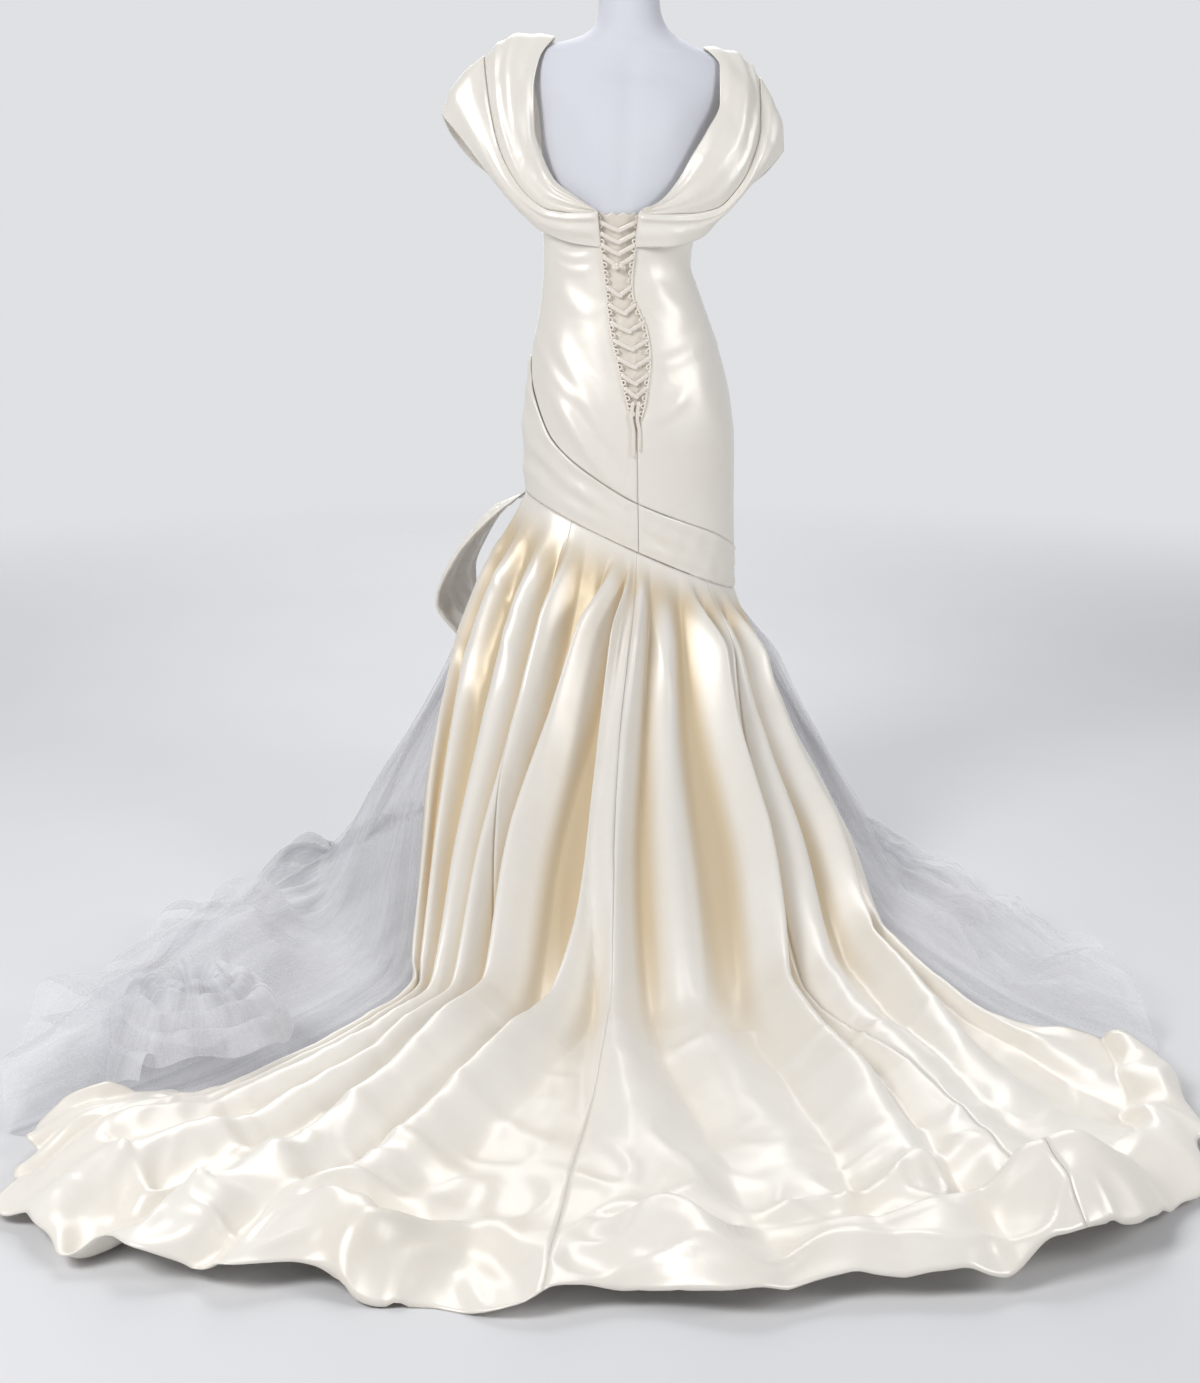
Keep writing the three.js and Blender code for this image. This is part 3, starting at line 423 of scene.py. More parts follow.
def backGrid(side, low, high, out, nu, nv, relief):
    # u from the centre back edge to the side seam, v from foot to top, on the figure plus its relief.
    u = np.linspace(0, 1, nu)[:, None] + np.zeros((1, nv))
    v = np.linspace(0, 1, nv)[None, :] + np.zeros((nu, 1))
    nominal = lerp(-4.0, side * 90.0, u)
    z = lerp(low(nominal), high(nominal), v)
    closed = lerp(-0.016, -0.010, np.clip((z - 0.5) / 0.315, 0, 1)) + side * bodice["gap"] / 2
    edge = np.where(z > 0.815, openingEdge(z, side), closed)
    angle = lerp(angleOf(edge, z), side * (90 - bodice["gap"] * 1000 / 6), u)
    p = onFigure(angle, z, out)
    fade = ease(u / 0.05) * ease((1 - u) / 0.04) * ease(v / 0.02) * ease((1 - v) / 0.02)
    return onFigure(angle, z, out + fade * relief(p[..., 0], p[..., 2], angle))


def frontGrid(low, high, out, nu, nv, relief):
    # u from side seam to side seam round the front, v from foot to top, on the figure plus its relief.
    start = 90 + bodice["gap"] * 1000 / 6
    angle = np.linspace(start, 360 - start, nu)[:, None] + np.zeros((1, nv))
    signed = np.where(angle > 180, angle - 360, angle)
    v = np.linspace(0, 1, nv)[None, :]
    z = lerp(low(signed), high(signed), v)
    p = onFigure(angle, z, out)
    fade = ease((angle - start) / 8) * ease((360 - start - angle) / 8) * ease(v / 0.02) * ease((1 - v) / 0.02)
    return onFigure(angle, z, out + fade * relief(p[..., 0], p[..., 2], signed))


def bandRelief(x, z, angle):
    # Tucks that follow the band: rows of rounded folds at even parts of its height, fading to the left hip.
    low, high = seamHeight(angle), bandTop(angle)
    t = (z - low) / (high - low)
    depth = 0.0030 * (0.55 + 0.45 * ease((angle + 10) / 60))
    tucks = sum(np.exp(-(((t - centre - 0.03 * np.sin(angle / 17)) / 0.14) ** 2)) for centre in (0.22, 0.58, 0.93))
    return depth * tucks + 0.0008 * waves(x, z, 0.05, 9)


def makeBodice():
    low = lambda angle: bandTop(angle) + bodice["gap"]
    top = lambda angle: 0 * angle + bodice["top"]
    rise = bodice["frontTop"] - bodice["top"]
    frontTop = lambda angle: bodice["top"] + rise * ease((abs(angle) - 90) / 70)
    relief = lambda x, z, angle: bodiceRelief(x, z)
    frontRelief = lambda x, z, angle: bodiceRelief(-x, z - 0.02)
    foot = lambda angle: seamHeight(angle) + bodice["gap"]
    proud = bodice["proud"]
    rows = [  # piece, CAD node, grid, facing, flat width and length, flat area
        ("bodiceBackLeft", "bodice_back_left",
         backGrid(1, low, top, 0, 60, 100, relief), -1, (0.25, 0.50), 0.078),
        ("bodiceBackRight", "bodice_back_right",
         backGrid(-1, low, top, 0, 60, 110, relief), 1, (0.26, 0.60), 0.111),
        ("bodiceFront", "bodice_front",
         frontGrid(low, frontTop, 0, 100, 90, frontRelief), -1, (0.50, 0.65), 0.212),
        ("hipSwatheLeft", "hip_swathe_left",
         backGrid(1, foot, bandTop, proud, 90, 50, bandRelief), -1, (0.27, 0.34), 0.038),
        ("hipBandRight", "hip_band_right",
         backGrid(-1, foot, bandTop, proud, 90, 40, bandRelief), 1, (0.27, 0.17), 0.021),
        ("hipBandFront", "hip_band_front",
         frontGrid(foot, bandTop, proud, 120, 44, bandRelief), -1, (0.50, 0.38), 0.061),
    ]
    for name, node, points, facing, flat, area in rows:
        wall = bodice["bandWall"] if name.startswith("hip") else bodice["wall"]
        piece = gridMesh(name, points, facing)
        finishPiece(piece, satin, [node], wall)
    z = np.linspace(0.807, 1.191, 120)[None, :] + np.zeros((40, 1))
    v = (z - 0.807) / 0.384
    flap = 0.002 + 0.012 * v
    u = np.linspace(0, 1, 40)[:, None] + np.zeros((1, 120))
    left = angleOf(openingEdge(z, 1) + flap, z)
    right = angleOf(openingEdge(z, -1) - flap, z)
    scallop = 0.006 * ease((v - 0.9) / 0.1) * np.abs(np.sin(u * math.pi * 5))
    panel = onFigure(lerp(right, left, u), z - scallop, -0.0042 + 0.0008 * creases(u * 0.08, z, 0.05, 3))
    piece = gridMesh("modestyPanel", panel, -1)
    # The panel wears the darker satin copy, painted shade for its place behind the opening.
    finishPiece(piece, shadedSatin, ["modesty_panel"], 0.0012)
    print("bodice made")


drapeRows = {  # neck edge, top fold of the cap and arm edge, from centre back over the shoulder to centre front
    "left": [
        (60, 104, 1192, 58, 111, 1189, 52, 93.9, 1130), (95, 95, 1216, 100, 104, 1188, 100, 90, 1137),
        (131, 74, 1243, 140, 88, 1192, 149, 66, 1153), (153, 60, 1285, 175, 79, 1214, 190, 60, 1186),
        (166, 52, 1330, 207, 69, 1254, 226, 52, 1226), (167, 47, 1390, 230, 54, 1305, 262, 37, 1272),
        (156, 34, 1448, 246, 28, 1380, 300, 18, 1320), (130, 5, 1482, 254, 0, 1450, 328, 0, 1351),
        (134, -28, 1468, 252, -30, 1422, 318, -42, 1324), (138, -62, 1424, 241, -64, 1362, 285, -80, 1278),
        (132, -97, 1364, 215, -102, 1302, 235, -107, 1238), (108, -132, 1306, 165, -132, 1256, 170, -126, 1204),
        (60, -154, 1268, 85, -158, 1232, 85, -138, 1182), (1.4, -160, 1256, 1.4, -165, 1224, 1.4, -146, 1172)],
    "right": [
        (-14, 105, 1191, -11, 112, 1187, -5, 94.3, 1130), (-50, 102, 1210, -58, 110, 1186, -60, 98, 1130),
        (-78, 93, 1242, -105, 96, 1187, -119, 76, 1145), (-102, 85, 1283, -145, 82, 1194, -152, 67, 1177),
        (-128, 77, 1325, -180, 72, 1226, -184, 58, 1212), (-150, 59, 1372, -206, 57, 1270, -214, 44, 1240),
        (-150, 36, 1434, -223, 34, 1335, -243, 24, 1267), (-122, 5, 1464, -223, 0, 1414, -266, 0, 1292),
        (-130, -28, 1452, -221, -30, 1390, -260, -40, 1279), (-136, -62, 1410, -212, -64, 1342, -240, -78, 1252),
        (-132, -97, 1356, -192, -102, 1292, -207, -106, 1226), (-108, -132, 1304, -152, -132, 1254, -158, -124, 1201),
        (-60, -154, 1268, -80, -158, 1232, -82, -137, 1181), (-1.4, -160, 1256, -1.4, -165, 1224, -1.4, -146, 1172)]}
drape = {"capSwell": 0.009, "foldSwell": 0.015, "tuck": 0.0032, "wall": 0.002, "long": 170, "wide": 38}
# Folds along each drape: where across at the back, shoulder and front, half width, height
capFolds = [(0.10, 0.30, 0.35, 0.10, 0.0045), (0.55, 0.62, 0.65, 0.17, 0.0050)]
innerFolds = [(0.20, 0.18, 0.30, 0.10, 0.0060), (0.58, 0.50, 0.60, 0.15, 0.0110), (0.88, 0.80, 0.85, 0.08, 0.0060)]


def between(edgeA, edgeB, swell, side, folds, seed):
    # Straight across between two edges, swollen by 4 v (1 - v), with folds that run along it and wander.
    nv = drape["wide"]
    v = np.linspace(0, 1, nv)[None, :, None]
    t = np.linspace(0, 1, len(edgeA))[:, None, None]
    across = edgeB[:, None] - edgeA[:, None]
    out = unit(np.cross(np.gradient(edgeA, axis=0)[:, None], across)) * side
    free = ease(t / 0.3) * ease((1 - t) / 0.3)
    points = edgeA[:, None] + across * v + out * swell * free * 4 * v * (1 - v)
    tt, vv = t[..., 0], v[..., 0]
    rise = 0
    for k, (back, top, front, half, height) in enumerate(folds):
        centre = through([0, 0.5, 1], [back, top, front], tt.ravel()).reshape(tt.shape)
        centre = centre + 0.03 * np.sin(math.tau * (tt * 1.6 + 0.3 * k + 0.1 * seed))
        strength = 0.55 + 0.45 * np.cos(math.tau * (tt * 1.2 + 0.17 * k))
        rise = rise + height * strength * np.exp(-(((vv - centre) / half) ** 2))
    rise = (rise + 0.0010 * waves(tt * 0.8, vv * 0.12, 0.17, seed + 1)
            + 0.0004 * creases(tt * 0.8, vv * 0.12, 0.08, seed))
    fade = ease(vv / 0.10) * ease((1 - vv) / 0.06) * ease(tt / 0.02) * ease((1 - tt) / 0.02)
    return points + out * (rise * fade)[..., None]


def makeDrapes():
    for name, side, capArea, foldArea in (("left", 1, 0.060, 0.074), ("right", -1, 0.052, 0.069)):
        rows = np.array(drapeRows[name], float) / 1000
        keys = np.linspace(0, 1, len(rows))
        at = np.linspace(0, 1, drape["long"])
        neck, fold, arm = (through(keys, rows[:, c:c + 3].T, at).T for c in (0, 3, 6))
        cap = between(fold, arm, drape["capSwell"], side, capFolds, 11 + side)
        tuckOut = normalsOf(cap, side)[:, 1]
        tucked = cap[:, 0] - tuckOut * drape["tuck"]
        inner = between(neck, tucked, drape["foldSwell"], side, innerFolds, 21 + side)
        for piece, points, node, flat, area in (
                (f"shoulderCap.{name}", cap, f"shoulder_cap_{name}", (0.80, 0.10), capArea),
                (f"shoulderFold.{name}", inner, f"shoulder_fold_{name}", (0.74, 0.125), foldArea)):
            sheet = gridMesh(piece, points, side)
            finishPiece(sheet, satin, [node], drape["wall"])
    print("shoulder drapes made")


lacing = {"ribbon": 0.0075, "ribbonWall": 0.0012, "cord": 0.0032, "drop": 0.015,
          "places": [1.172, 1.152, 1.132, 1.112, 1.062, 1.032, 1.002, 0.972, 0.942, 0.914, 0.892]}


def strip(points, width, thick, around=12, count=24):
    # A ribbon or cord that lies on the figure along a few [x, z, out] points.
    rows = evenPath(points, count)
    path = onFigure(angleOf(rows[:, 0], rows[:, 1]), rows[:, 1], rows[:, 2])
    out = unit(path * np.array([1, 1, 0]) - np.stack([0.02 + 0 * path[:, 0], 0 * path[:, 0], 0 * path[:, 0]], -1))
    side = unit(np.cross(unit(np.gradient(path, axis=0)), out))
    return sweep(path, side, out, width, thick, around)


def makeLacing():
    edge = lambda z, side: float(openingEdge(np.array(z), side))
    for name, side in (("left", 1), ("right", -1)):
        parts = []
        for k in range(26):     # each rouleau loop leaves the panel's edge and comes back to it
            z = lerp(1.180, 0.850, k / 25)
            x = edge(z, side)
            reach = [(x + side * 0.005, z + 0.004, 0.0012), (x - side * 0.002, z + 0.0035, 0.0032),
                     (x - side * 0.0045, z, 0.0036), (x - side * 0.002, z - 0.0035, 0.0032),
                     (x + side * 0.005, z - 0.004, 0.0012)]
            parts.append(strip(reach, lacing["cord"], lacing["cord"], 8, 14))
        piping = [(edge(z, side) + side * 0.0022, z, 0.0020) for z in np.linspace(1.178, 0.835, 14)]
        parts.append(strip(piping, 0.0034, 0.0034, 8, 60))
        loops = joined(f"lacingLoops.{name}", parts)
        finishPiece(loops, cordSatin, [f"lacing_loops_{name}"])
    for k, z in enumerate(lacing["places"]):
        middle = (edge(z - lacing["drop"], 1) + edge(z - lacing["drop"], -1)) / 2
        for name, side, out in (("left", 1, 0.0030), ("right", -1, 0.0012)):
            x = edge(z, side)
            run = [(x + side * 0.001, z + 0.003, 0.0052), (lerp(x, middle, 0.35), z - 0.003, 0.0050),
                   (lerp(x, middle, 0.7), z - 0.009, out + 0.001),
                   (middle - side * 0.005, z - lacing["drop"], out)]
            piece = joined(f"lace.{name}.{k + 1}", [strip(run, lacing["ribbon"], lacing["ribbonWall"] * 1.6)])
            finishPiece(piece, cordSatin, [f"lace_{name}_{k + 1}"])
    t = np.linspace(0, math.tau, 60)
    height = np.array([1.096])
    turns = np.stack([0.0075 * np.sin(t) + 0.003 * np.sin(2 * t), 0.0022 * np.cos(3 * t),
                      0.0062 * np.sin(t + 1.1) * np.cos(t)], -1)
    knotPath = onFigure(angleOf(np.array([0.022]), height), height, np.array([0.0075]))[0] + turns
    out = np.zeros((60, 3)) + [0, 1, 0]
    across = unit(np.cross(np.gradient(knotPath, axis=0), out))
    knot = joined("lacingKnot", [sweep(knotPath, across, out, 0.007, 0.0055, 12)])
    finishPiece(knot, cordSatin, ["lacing_knot"])
    for name, x, foot in (("left", -0.003, 0.773), ("right", -0.013, 0.785)):
        run = [(x, 0.872, 0.0040), (x + 0.003, 0.845, 0.0046),
               (x - 0.001, 0.815, 0.0036), (x - 0.001, foot, 0.0034)]
        tail = joined(f"lacingTail.{name}", [strip(run, 0.0065, 0.0018, 12, 40)])
        finishPiece(tail, cordSatin, [f"lacing_tail_{name}"])
    print("lacing made")


stations = np.array([0, 0.2, 0.36, 0.54, 0.78, 1.0])
# u, seam angle, knee xyz, shin xyz, floor touch xy, mid xyz, hem xyz (millimetres)
train = np.array([
    [0.00, 91, 304, 10, 438, 357, 290, 190, 352, 640, 545, 1010, 0, 792, 1215, 0],
    [0.12, 66, 272, 105, 408, 312, 330, 176, 330, 700, 545, 1090, 0, 808, 1370, 0],
    [0.26, 40, 190, 195, 385, 235, 420, 165, 262, 760, 470, 1200, 0, 690, 1560, 0],
    [0.40, 16, 88, 252, 370, 125, 480, 158, 150, 800, 300, 1260, 0, 425, 1630, 0],
    [0.52, -4, 0, 270, 362, 14, 500, 155, 22, 825, 70, 1270, 0, 105, 1670, 0],
    [0.64, -25, -85, 248, 352, -105, 480, 152, -125, 800, -190, 1250, 0, -235, 1660, 0],
    [0.77, -48, -175, 190, 335, -230, 390, 145, -270, 700, -410, 1150, 0, -525, 1580, 0],
    [0.89, -70, -236, 105, 318, -325, 260, 130, -385, 560, -560, 970, 0, -738, 1330, 0],
    [1.00, -91, -268, 18, 306, -378, 150, 110, -432, 430, -548, 800, 0, -765, 1010, 0]], float)
tulleLeft = np.array([
    [0.00, 80, 258, 45, 400, 312, 290, 140, 312, 600, 520, 1020, 0, 740, 1215, 0],
    [0.11, 94, 290, -12, 410, 378, 235, 182, 400, 560, 585, 925, 0, 848, 1200, 0],
    [0.24, 103, 300, -30, 400, 432, 60, 178, 540, 280, 655, 720, 110, 884, 1060, 30],
    [0.38, 114, 298, -66, 385, 432, -20, 175, 570, 90, 672, 420, 24, 822, 700, 20],
    [0.50, 125, 272, -112, 370, 390, -118, 170, 520, -80, 615, 100, 0, 725, 360, 0],
    [0.62, 138, 228, -160, 355, 322, -204, 165, 430, -220, 500, -150, 0, 575, 20, 0],
    [0.75, 152, 156, -206, 345, 224, -278, 160, 302, -345, 356, -366, 0, 405, -320, 0],
    [0.88, 166, 76, -233, 340, 110, -326, 158, 148, -412, 182, -462, 0, 208, -482, 0],
    [1.00, 179.85, 0.4, -240, 340, 0.4, -338, 158, 0.4, -432, 0.4, -485, 0, 0.4, -530, 0]], float)
tulleRight = np.array([
    [0.00, -80, -212, 52, 292, -306, 200, 60, -365, 450, -500, 830, 0, -690, 1020, 0],
    [0.13, -94, -257, -18, 312, -360, 100, 124, -462, 375, -596, 715, 0, -768, 945, 0],
    [0.27, -106, -284, -42, 320, -395, 20, 140, -500, 150, -616, 470, 20, -758, 715, 12],
    [0.41, -118, -278, -86, 325, -376, -64, 145, -476, -10, -566, 200, 0, -676, 420, 0],
    [0.56, -131, -246, -138, 330, -333, -153, 150, -426, -142, -504, -60, 0, -586, 95, 0],
    [0.71, -146, -187, -188, 335, -258, -241, 154, -344, -290, -400, -276, 0, -454, -206, 0],
    [0.86, -163, -100, -224, 339, -140, -307, 157, -184, -398, -222, -440, 0, -258, -446, 0],
    [1.00, -179.85, -0.4, -240, 340, -0.4, -338, 158, -0.4, -432, -0.4, -485, 0, -0.4, -530, 0]], float)


def lay(table, u, v, rest, out):
    # Each line of cloth runs from the seam through knee, shin and floor to the hem; rest is its height on the floor.
    columns = through(table[:, 0], table[:, 1:].T, u)
    angle = columns[0]
    start = onFigure(angle, seamHeight(angle) - bodice["gap"], out)
    c = columns / 1000
    x = np.stack([start[:, 0], c[1], c[4], c[7], c[9], c[12]], -1)
    y = np.stack([start[:, 1], c[2], c[5], c[8], c[10], c[13]], -1)
    z = np.stack([start[:, 2], c[3], c[6], rest, rest + c[11], rest + c[14]], -1)
    return np.stack([through(stations, a, v) for a in (x, y, z)], -1)


# Folds of the train: u at each station, half width at seam and hem, height, lean
trainFolds = [
    (0.03, 0.03, 0.03, 0.03, 0.04, 0.05, 0.035, 0.050, 0.018, 0.0),
    (0.13, 0.12, 0.11, 0.10, 0.09, 0.10, 0.050, 0.060, 0.024, 0.2),
    (0.23, 0.23, 0.21, 0.18, 0.15, 0.14, 0.055, 0.045, 0.030, 0.4),
    (0.32, 0.31, 0.28, 0.25, 0.23, 0.21, 0.040, 0.038, 0.036, 0.5),
    (0.470, 0.415, 0.365, 0.350, 0.340, 0.315, 0.040, 0.050, 0.056, 0.7),
    (0.500, 0.500, 0.495, 0.450, 0.410, 0.385, 0.016, 0.044, 0.050, 0.6),
    (0.535, 0.522, 0.512, 0.520, 0.560, 0.580, 0.034, 0.050, 0.052, 0.2),
    (0.595, 0.595, 0.600, 0.610, 0.630, 0.640, 0.060, 0.060, 0.026, 0.0),
    (0.680, 0.700, 0.722, 0.715, 0.700, 0.690, 0.034, 0.044, 0.050, -0.6),
    (0.765, 0.785, 0.800, 0.795, 0.770, 0.760, 0.045, 0.050, 0.034, -0.4),
    (0.850, 0.855, 0.880, 0.885, 0.810, 0.900, 0.038, 0.044, 0.044, -0.5),
    (0.945, 0.945, 0.955, 0.960, 0.940, 0.960, 0.040, 0.040, 0.024, -0.2)]



def foldField(folds, u, v):
    # Rounded ridges (cosine squared) that start sharp at the seam and broaden downwards.
    rise, push = np.zeros((len(u), len(v))), np.zeros((len(u), len(v)))
    for *path, halfTop, halfHem, height, lean in folds:
        middle = through(stations, np.array(path), v)[None, :]
        half = lerp(halfTop, halfHem, ease(v))[None, :]
        x = np.clip((u[:, None] - middle) / half, -1, 1)
        grown = height * ease(v / 0.13)[None, :] * (1 - 0.55 * ease((v - 0.62) / 0.38))[None, :]
        ridge = grown * np.cos(x * math.pi / 2) ** 2
        rise = np.maximum(rise, ridge)
        push = push + lean * ridge
    return rise, push


skirt = {"wall": 0.002, "lift": 0.0055, "across": 160, "down": 300, "join": 0.0001,
         "seams": [0, 0.295, 0.515, 0.765, 1]}


def trainSurface(u, v):
    # The lie of the cloth, plus folds and rumples along its normal, a curl at the hem, and no lower than the floor.
    rest = skirt["wall"] + 0.0003 + skirt["lift"] * (1 - ease(u / 0.16) * ease((1 - u) / 0.16))
    base = lay(train, u, v, rest, 0)
    out = normalsOf(base, -1, 30)
    across = unit(np.gradient(base, axis=0))
    rise, push = foldField(trainFolds, u, v)
    x, y = base[..., 0], base[..., 1]
    vv = v[None, :]
    fallen = ease((vv - 0.40) / 0.25)                  # cloth that lies on the floor is rumpled
    near = ease((vv - 0.74) / 0.20)                    # and more so at the hem
    standing = ease(vv / 0.08) * (1 - 0.5 * fallen)
    front = ease((u[:, None] - 0.16) / 0.14) * ease((0.86 - u[:, None]) / 0.12)
    rumple = (0.008 * fallen + 0.008 * near) * np.maximum(waves(x, y, 0.46, 31) + 0.25, 0)
    broad = 0.004 * fallen + 0.018 * near * (0.35 + 0.65 * front)
    small = 0.0012 * fallen + 0.007 * near * (0.25 + 0.75 * front)
    rumple = rumple + broad * creases(x, 1.4 * y, 0.38, 32, 1.4)
    rumple = rumple + small * creases(1.2 * x, y, 0.19, 33, 1.6)
    rumple = rumple + 0.0024 * standing * creases(2.6 * x, base[..., 2] + 0.3 * y, 0.32, 34, 1.3)
    rumple = rumple + 0.0005 * creases(x, y + base[..., 2], 0.09, 35, 1.5) * ease(vv / 0.05)
    roll = np.clip((vv - 0.915) / 0.085, 0, 1)         # the hem rolls over on the floor
    high = 0.020 + 0.016 * waves(u[:, None] * 2.2, 0 * vv, 0.30, 36) * np.ones_like(vv)
    curl = np.maximum(high, 0.004) * np.sin(math.pi * roll**0.8) ** 0.8
    points = base + out * (rise + rumple)[..., None] - across * push[..., None]
    points[..., 2] += curl
    down = unit(np.gradient(base, axis=1))
    points += down * (0.012 * near * waves(u[:, None] * 2.2, vv * 0.4, 0.16, 37))[..., None]
    floor = rest[:, None] + 0 * vv
    points[..., 2] = np.maximum(points[..., 2], floor)
    # Painted shade: darker warm satin colour at the foot of each standing fold, weaker where the cloth lies on the
    # floor.
    hollow = ease(1 - rise / 0.024) * ease(vv / 0.06) * (1 - 0.9 * fallen)
    return points, hollow


def makeTrain():
    panels = [  # piece, CAD node, flat width and length, flat area
        ("skirtSideLeft", "skirt_side_left", (0.62, 1.60), 0.55),
        ("skirtBackLeft", "skirt_back_left", (0.62, 1.85), 0.75),
        ("skirtBackRight", "skirt_back_right", (0.75, 1.85), 0.85),
        ("skirtSideRight", "skirt_side_right", (0.66, 1.70), 0.60)]
    for k, (name, node, flat, area) in enumerate(panels):
        low, high = skirt["seams"][k] + skirt["join"], skirt["seams"][k + 1] - skirt["join"]
        count = int(skirt["across"] * (high - low)) * 2
        u = np.linspace(low, high, count)
        points, hollow = trainSurface(u, np.linspace(0, 1, skirt["down"]))
        piece = gridMesh(name, points, -1, hollow=hollow)
        finishPiece(piece, satin, [node], skirt["wall"])
    print("train made")


def makeHipLoop():
    # Three edges of the loop of satin at the left hip, joined by a rounded section.
    edges = np.array([
        [(186, -9, 695.6), (262, -16, 636), (330, -16, 552), (354, -14, 487), (314, -18, 424)],
        [(181, -27, 692.8), (252, -64, 648), (312, -74, 566), (336, -72, 500), (306, -68, 444)],
        [(172, -45, 689.2), (218, -108, 660), (264, -128, 592), (286, -130, 534), (284, -118, 478)]], float) / 1000
    v = np.linspace(0, 1, 90)
    lines = np.stack([evenPath(edge, 90) for edge in edges], -1)
    u = np.linspace(0, 1, 50)
    points = through([0, 0.45, 1], lines, u).transpose(2, 0, 1)
    out = normalsOf(points, -1)
    fade = ease(u / 0.05)[:, None] * ease((1 - u) / 0.05)[:, None] * ease(v / 0.05)[None, :]
    rise = (0.006 * np.cos(u * math.pi * 5)[:, None] * ease(v / 0.3)[None, :]
            + 0.002 * creases(u[:, None] * 0.16, v[None, :] * 0.4, 0.07, 41))
    piece = gridMesh("hipLoop", points + out * (rise * fade)[..., None], -1)
    finishPiece(piece, satin, ["hip_loop"], 0.002)
    print("hip loop made")


def tulleLayer(table, facing, inset, seed, nu, nv):
    # The lie of the net, plus narrow pleats and soft waves along its normal, heaped where it meets the floor.
    u, v = np.linspace(0, 1, nu), np.linspace(0, 1, nv)
    rest = 0.0015 + 0.0006 * (seed % 2) + 0 * u
    base = lay(table, u, v, rest, -0.005 - inset)
    out = normalsOf(base, facing, 24)
    vv, uu = v[None, :], u[:, None]
    clear = ease((uu - 0.13) / 0.05)                       # flat under the satin's edge
    grown = ease(vv / 0.16)
    pleats = np.abs(np.sin(math.pi * (uu * 9.5 + 0.25 * waves(uu, vv * 0.5, 0.5, seed)))) ** 1.3
    rise = clear * grown * (0.017 * pleats + 0.005 * creases(uu * 2.6, vv * 0.5, 0.24, seed + 1, 1.4)
                            + 0.004 * waves(uu * 3.0, vv * 0.7, 0.20, seed + 2))
    x, y = base[..., 0], base[..., 1]
    heap = clear * ease((vv - 0.55) / 0.2)
    rise = rise + heap * (0.014 * (1 + waves(x, y, 0.30, seed + 3))
                          + 0.006 * creases(x, y, 0.17, seed + 4, 1.2))
    points = base + out * (rise - inset * 1.2 * grown * clear)[..., None]
    points[..., 2] = np.maximum(points[..., 2], rest[:, None])
    return points


def makeTulle():
    for name, table, facing, node, flat, area in (
            ("left", tulleLeft, 1, "tulle_left", (1.55, 1.25), 1.25),
            ("right", tulleRight, -1, "tulle_right", (1.35, 1.15), 0.90)):
        for layer, inset, finish in (("outer", 0.0, tulleOuter), ("under", 0.012, tulleInner)):
            seed = 51 + (layer == "under") * 10 + (name == "right") * 3
            points = tulleLayer(table, facing, inset, seed, 160, 190)
            piece = gridMesh(f"tulle.{name}.{layer}", points, facing)
            finishPiece(piece, finish, [node] if layer == "outer" else ())
    print("tulle made")


def makeRosette():
    # The gathered heap of net at the left: a spiral ruffle on a dome, its edge waved by two sines.
    turns, nu, nv = 4.2, 520, 22
    s = np.linspace(0, 1, nu)[:, None]
    t = np.linspace(0, 1, nv)[None, :]
    angle = math.tau * turns * s
    frill = 0.010 * np.sin(angle * 3.3 + 2 * np.sin(angle)) + 0.006 * np.sin(angle * 7.7)
    radius = 0.006 + 0.100 * s + 0.052 * t + 0.4 * frill * t
    height = 0.118 - 0.075 * s**2 + (0.030 * np.sin(t * math.pi * 0.8) + frill * t) - 0.030 * t**3
    points = np.stack([0.640 + radius * np.cos(angle), 0.965 + radius * np.sin(angle),
                       np.maximum(height, 0.004)], -1)
    piece = gridMesh("tulleRosette", points, 1)
    finishPiece(piece, tulleHeap)
    print("rosette made")


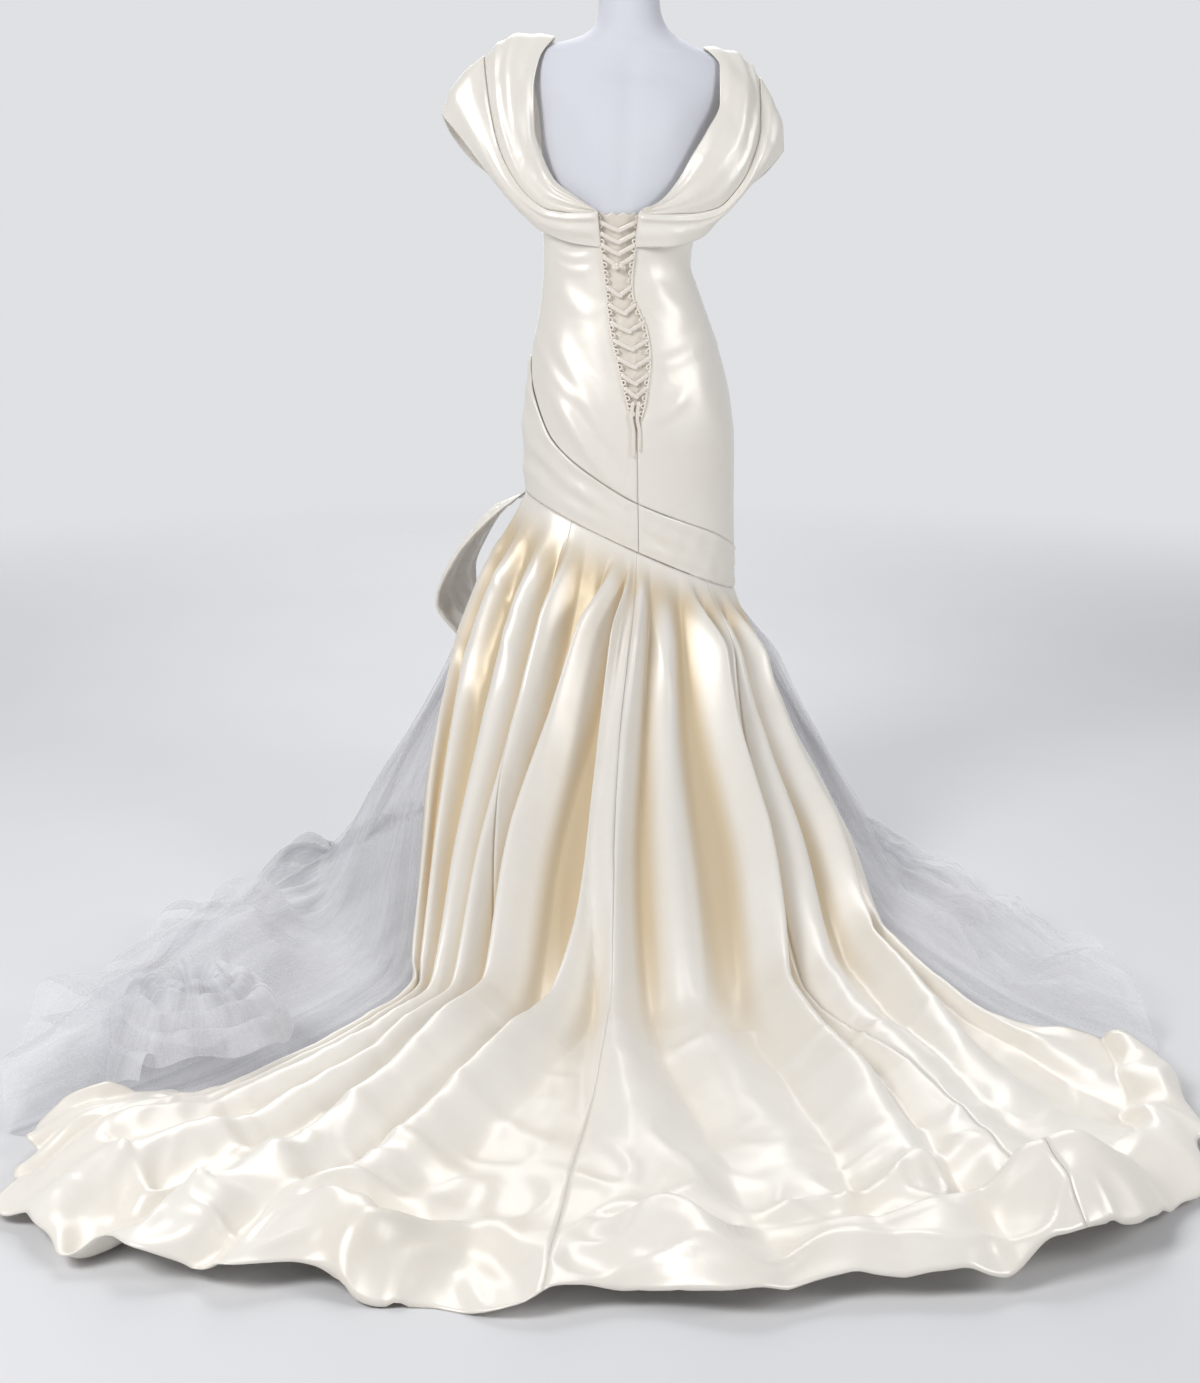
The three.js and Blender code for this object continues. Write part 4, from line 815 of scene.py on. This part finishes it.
def makeForm():
    # Rings of two half ellipses up the body, set in from the figure, with a hollow spine and raised blades.
    inset = [0.0085, 0.0085, 0.0085, 0]
    rows = [(z / 1000, *(through(figure[:, 0], figure[:, 1:].T, np.array([z / 1000]))[:, 0] - inset))
            for z in (560, 620, 700, 760, 820, 880, 950, 1010, 1060, 1101, 1145, 1195)]
    rows += [tuple(np.array(r) / 1000) for r in (
        (1250, 141, 98, 130, 12), (1300, 148, 99, 126, 7), (1350, 156, 95, 106, 4), (1392, 166, 84, 84, 2),
        (1420, 170, 70, 66, 1), (1446, 160, 60, 57, 0), (1460, 138, 56, 53, 0), (1470, 110, 56, 51, 0),
        (1483, 80, 57, 50, 1), (1502, 60, 56, 49, 2), (1530, 53, 53, 49, 4), (1592, 51, 51, 49, 6))]
    rows = np.array(rows)
    keys = np.arange(len(rows), dtype=float)
    at = np.linspace(0, len(rows) - 1, 170)
    z, width, back, front, shift = through(keys, rows.T, at)
    a = np.linspace(0, math.tau, 100, endpoint=False)[:, None]
    tilt = 0.06 * ease((z - 1.28) / 0.14) * (1 - ease((z - 1.455) / 0.06))
    atBack = np.cos(a) > 0
    spine = (0.004 * np.exp(-((np.sin(a) / 0.10) ** 2)) * atBack
             * ease((z - 1.15) / 0.1) * (1 - ease((z - 1.42) / 0.06)))
    level = ((z - 1.335) / 0.06) ** 2
    blades = 0.005 * sum(np.exp(-(((np.sin(a) - s * 0.45) / 0.20) ** 2) - level) for s in (-1, 1)) * atBack
    x = shift - width * np.sin(a)
    y = np.where(np.cos(a) > 0, back, front) * np.cos(a) - spine + blades
    points = np.stack([x, y, z + tilt * x], -1)
    foot, top = points[:, :1].copy(), points[:, -1:].copy()
    foot[..., :2] *= 0.002
    middle = top[..., :2].mean(axis=(0, 1))
    top[..., :2] = middle + (top[..., :2] - middle) * 0.002
    points = np.concatenate([foot, points, top], axis=1)
    piece = gridMesh("formTorso", points, 1, closedU=True)
    finishPiece(piece, jersey, ["form_torso"])
    for node in ("form_neck_cap", "stand_pole", "stand_collar", "stand_foot"):
        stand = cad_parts[node]
        stand.data.materials.clear()
        stand.data.materials.append(metal)
    print("form made")


def makeRoom():
    scene = bpy.context.scene
    scene.view_settings.view_transform = "Standard"
    f = Finish("paleFloor")
    grain = f.node("ShaderNodeTexNoise", None, {"Vector": f.node("ShaderNodeTexCoord", output=3), "Scale": 3.0})
    away = f.node("ShaderNodeVectorMath", {"operation": "LENGTH"}, {0: f.node("ShaderNodeTexCoord", output=3)}, 1)
    fade = f.node("ShaderNodeMapRange", {"interpolation_type": "SMOOTHSTEP"},
                  {"Value": away, "From Min": 1.9, "From Max": 4.5, "To Min": 1.0, "To Max": 0.0})
    f.set(Base_Color=f.mix(grain, (0.76, 0.76, 0.77), (0.79, 0.79, 0.80)), Roughness=0.85, Alpha=fade)
    mesh = bpy.data.meshes.new("floor")
    mesh.from_pydata([(-8, -8, 0), (8, -8, 0), (8, 8, 0), (-8, 8, 0)], [], [(0, 1, 2, 3)])
    floor = bpy.data.objects.new("floor", mesh)
    mesh.materials.append(f.material)
    scene.collection.objects.link(floor)
    world = bpy.data.worlds.new("softStudio")
    scene.world = world
    world.use_nodes = True
    tree = world.node_tree
    light = tree.nodes["Background"]
    light.inputs["Color"].default_value = (0.80, 0.83, 0.90, 1)
    light.inputs["Strength"].default_value = 0.25
    white = tree.nodes.new("ShaderNodeBackground")
    white.inputs["Color"].default_value = (0.74, 0.75, 0.77, 1)
    choose = tree.nodes.new("ShaderNodeMixShader")
    ray = tree.nodes.new("ShaderNodeLightPath")
    seen = ray.outputs["Is Camera Ray"]      # the eye, and gloss and glass, see the pale background
    for kind in ("Is Glossy Ray", "Is Transmission Ray"):
        either = tree.nodes.new("ShaderNodeMath")
        either.operation = "MAXIMUM"
        tree.links.new(seen, either.inputs[0])
        tree.links.new(ray.outputs[kind], either.inputs[1])
        seen = either.outputs[0]
    tree.links.new(seen, choose.inputs[0])
    tree.links.new(light.outputs[0], choose.inputs[1])
    tree.links.new(white.outputs[0], choose.inputs[2])
    tree.links.new(choose.outputs[0], tree.nodes["World Output"].inputs[0])
    lamps = [("keyLamp", (2.4, 3.0, 2.9), 1.6, 96), ("fillLamp", (-2.9, 2.3, 2.0), 1.4, 40),
             ("topLamp", (0.2, -1.6, 3.4), 2.0, 50), ("frontLamp", (0.4, -4.0, 2.0), 2.4, 40)]
    for name, place, size, power in lamps:
        lamp = bpy.data.lights.new(name, "AREA")
        lamp.size = size
        lamp.energy = power
        holder = bpy.data.objects.new(name, lamp)
        holder.location = place
        holder.rotation_euler = (Vector((0, 0.45, 0.55)) - Vector(place)).to_track_quat("-Z", "Y").to_euler()
        scene.collection.objects.link(holder)
    print("room made")


makeForm()
makeBodice()
makeDrapes()
makeLacing()
makeTrain()
makeHipLoop()
makeTulle()
makeRosette()
makeRoom()
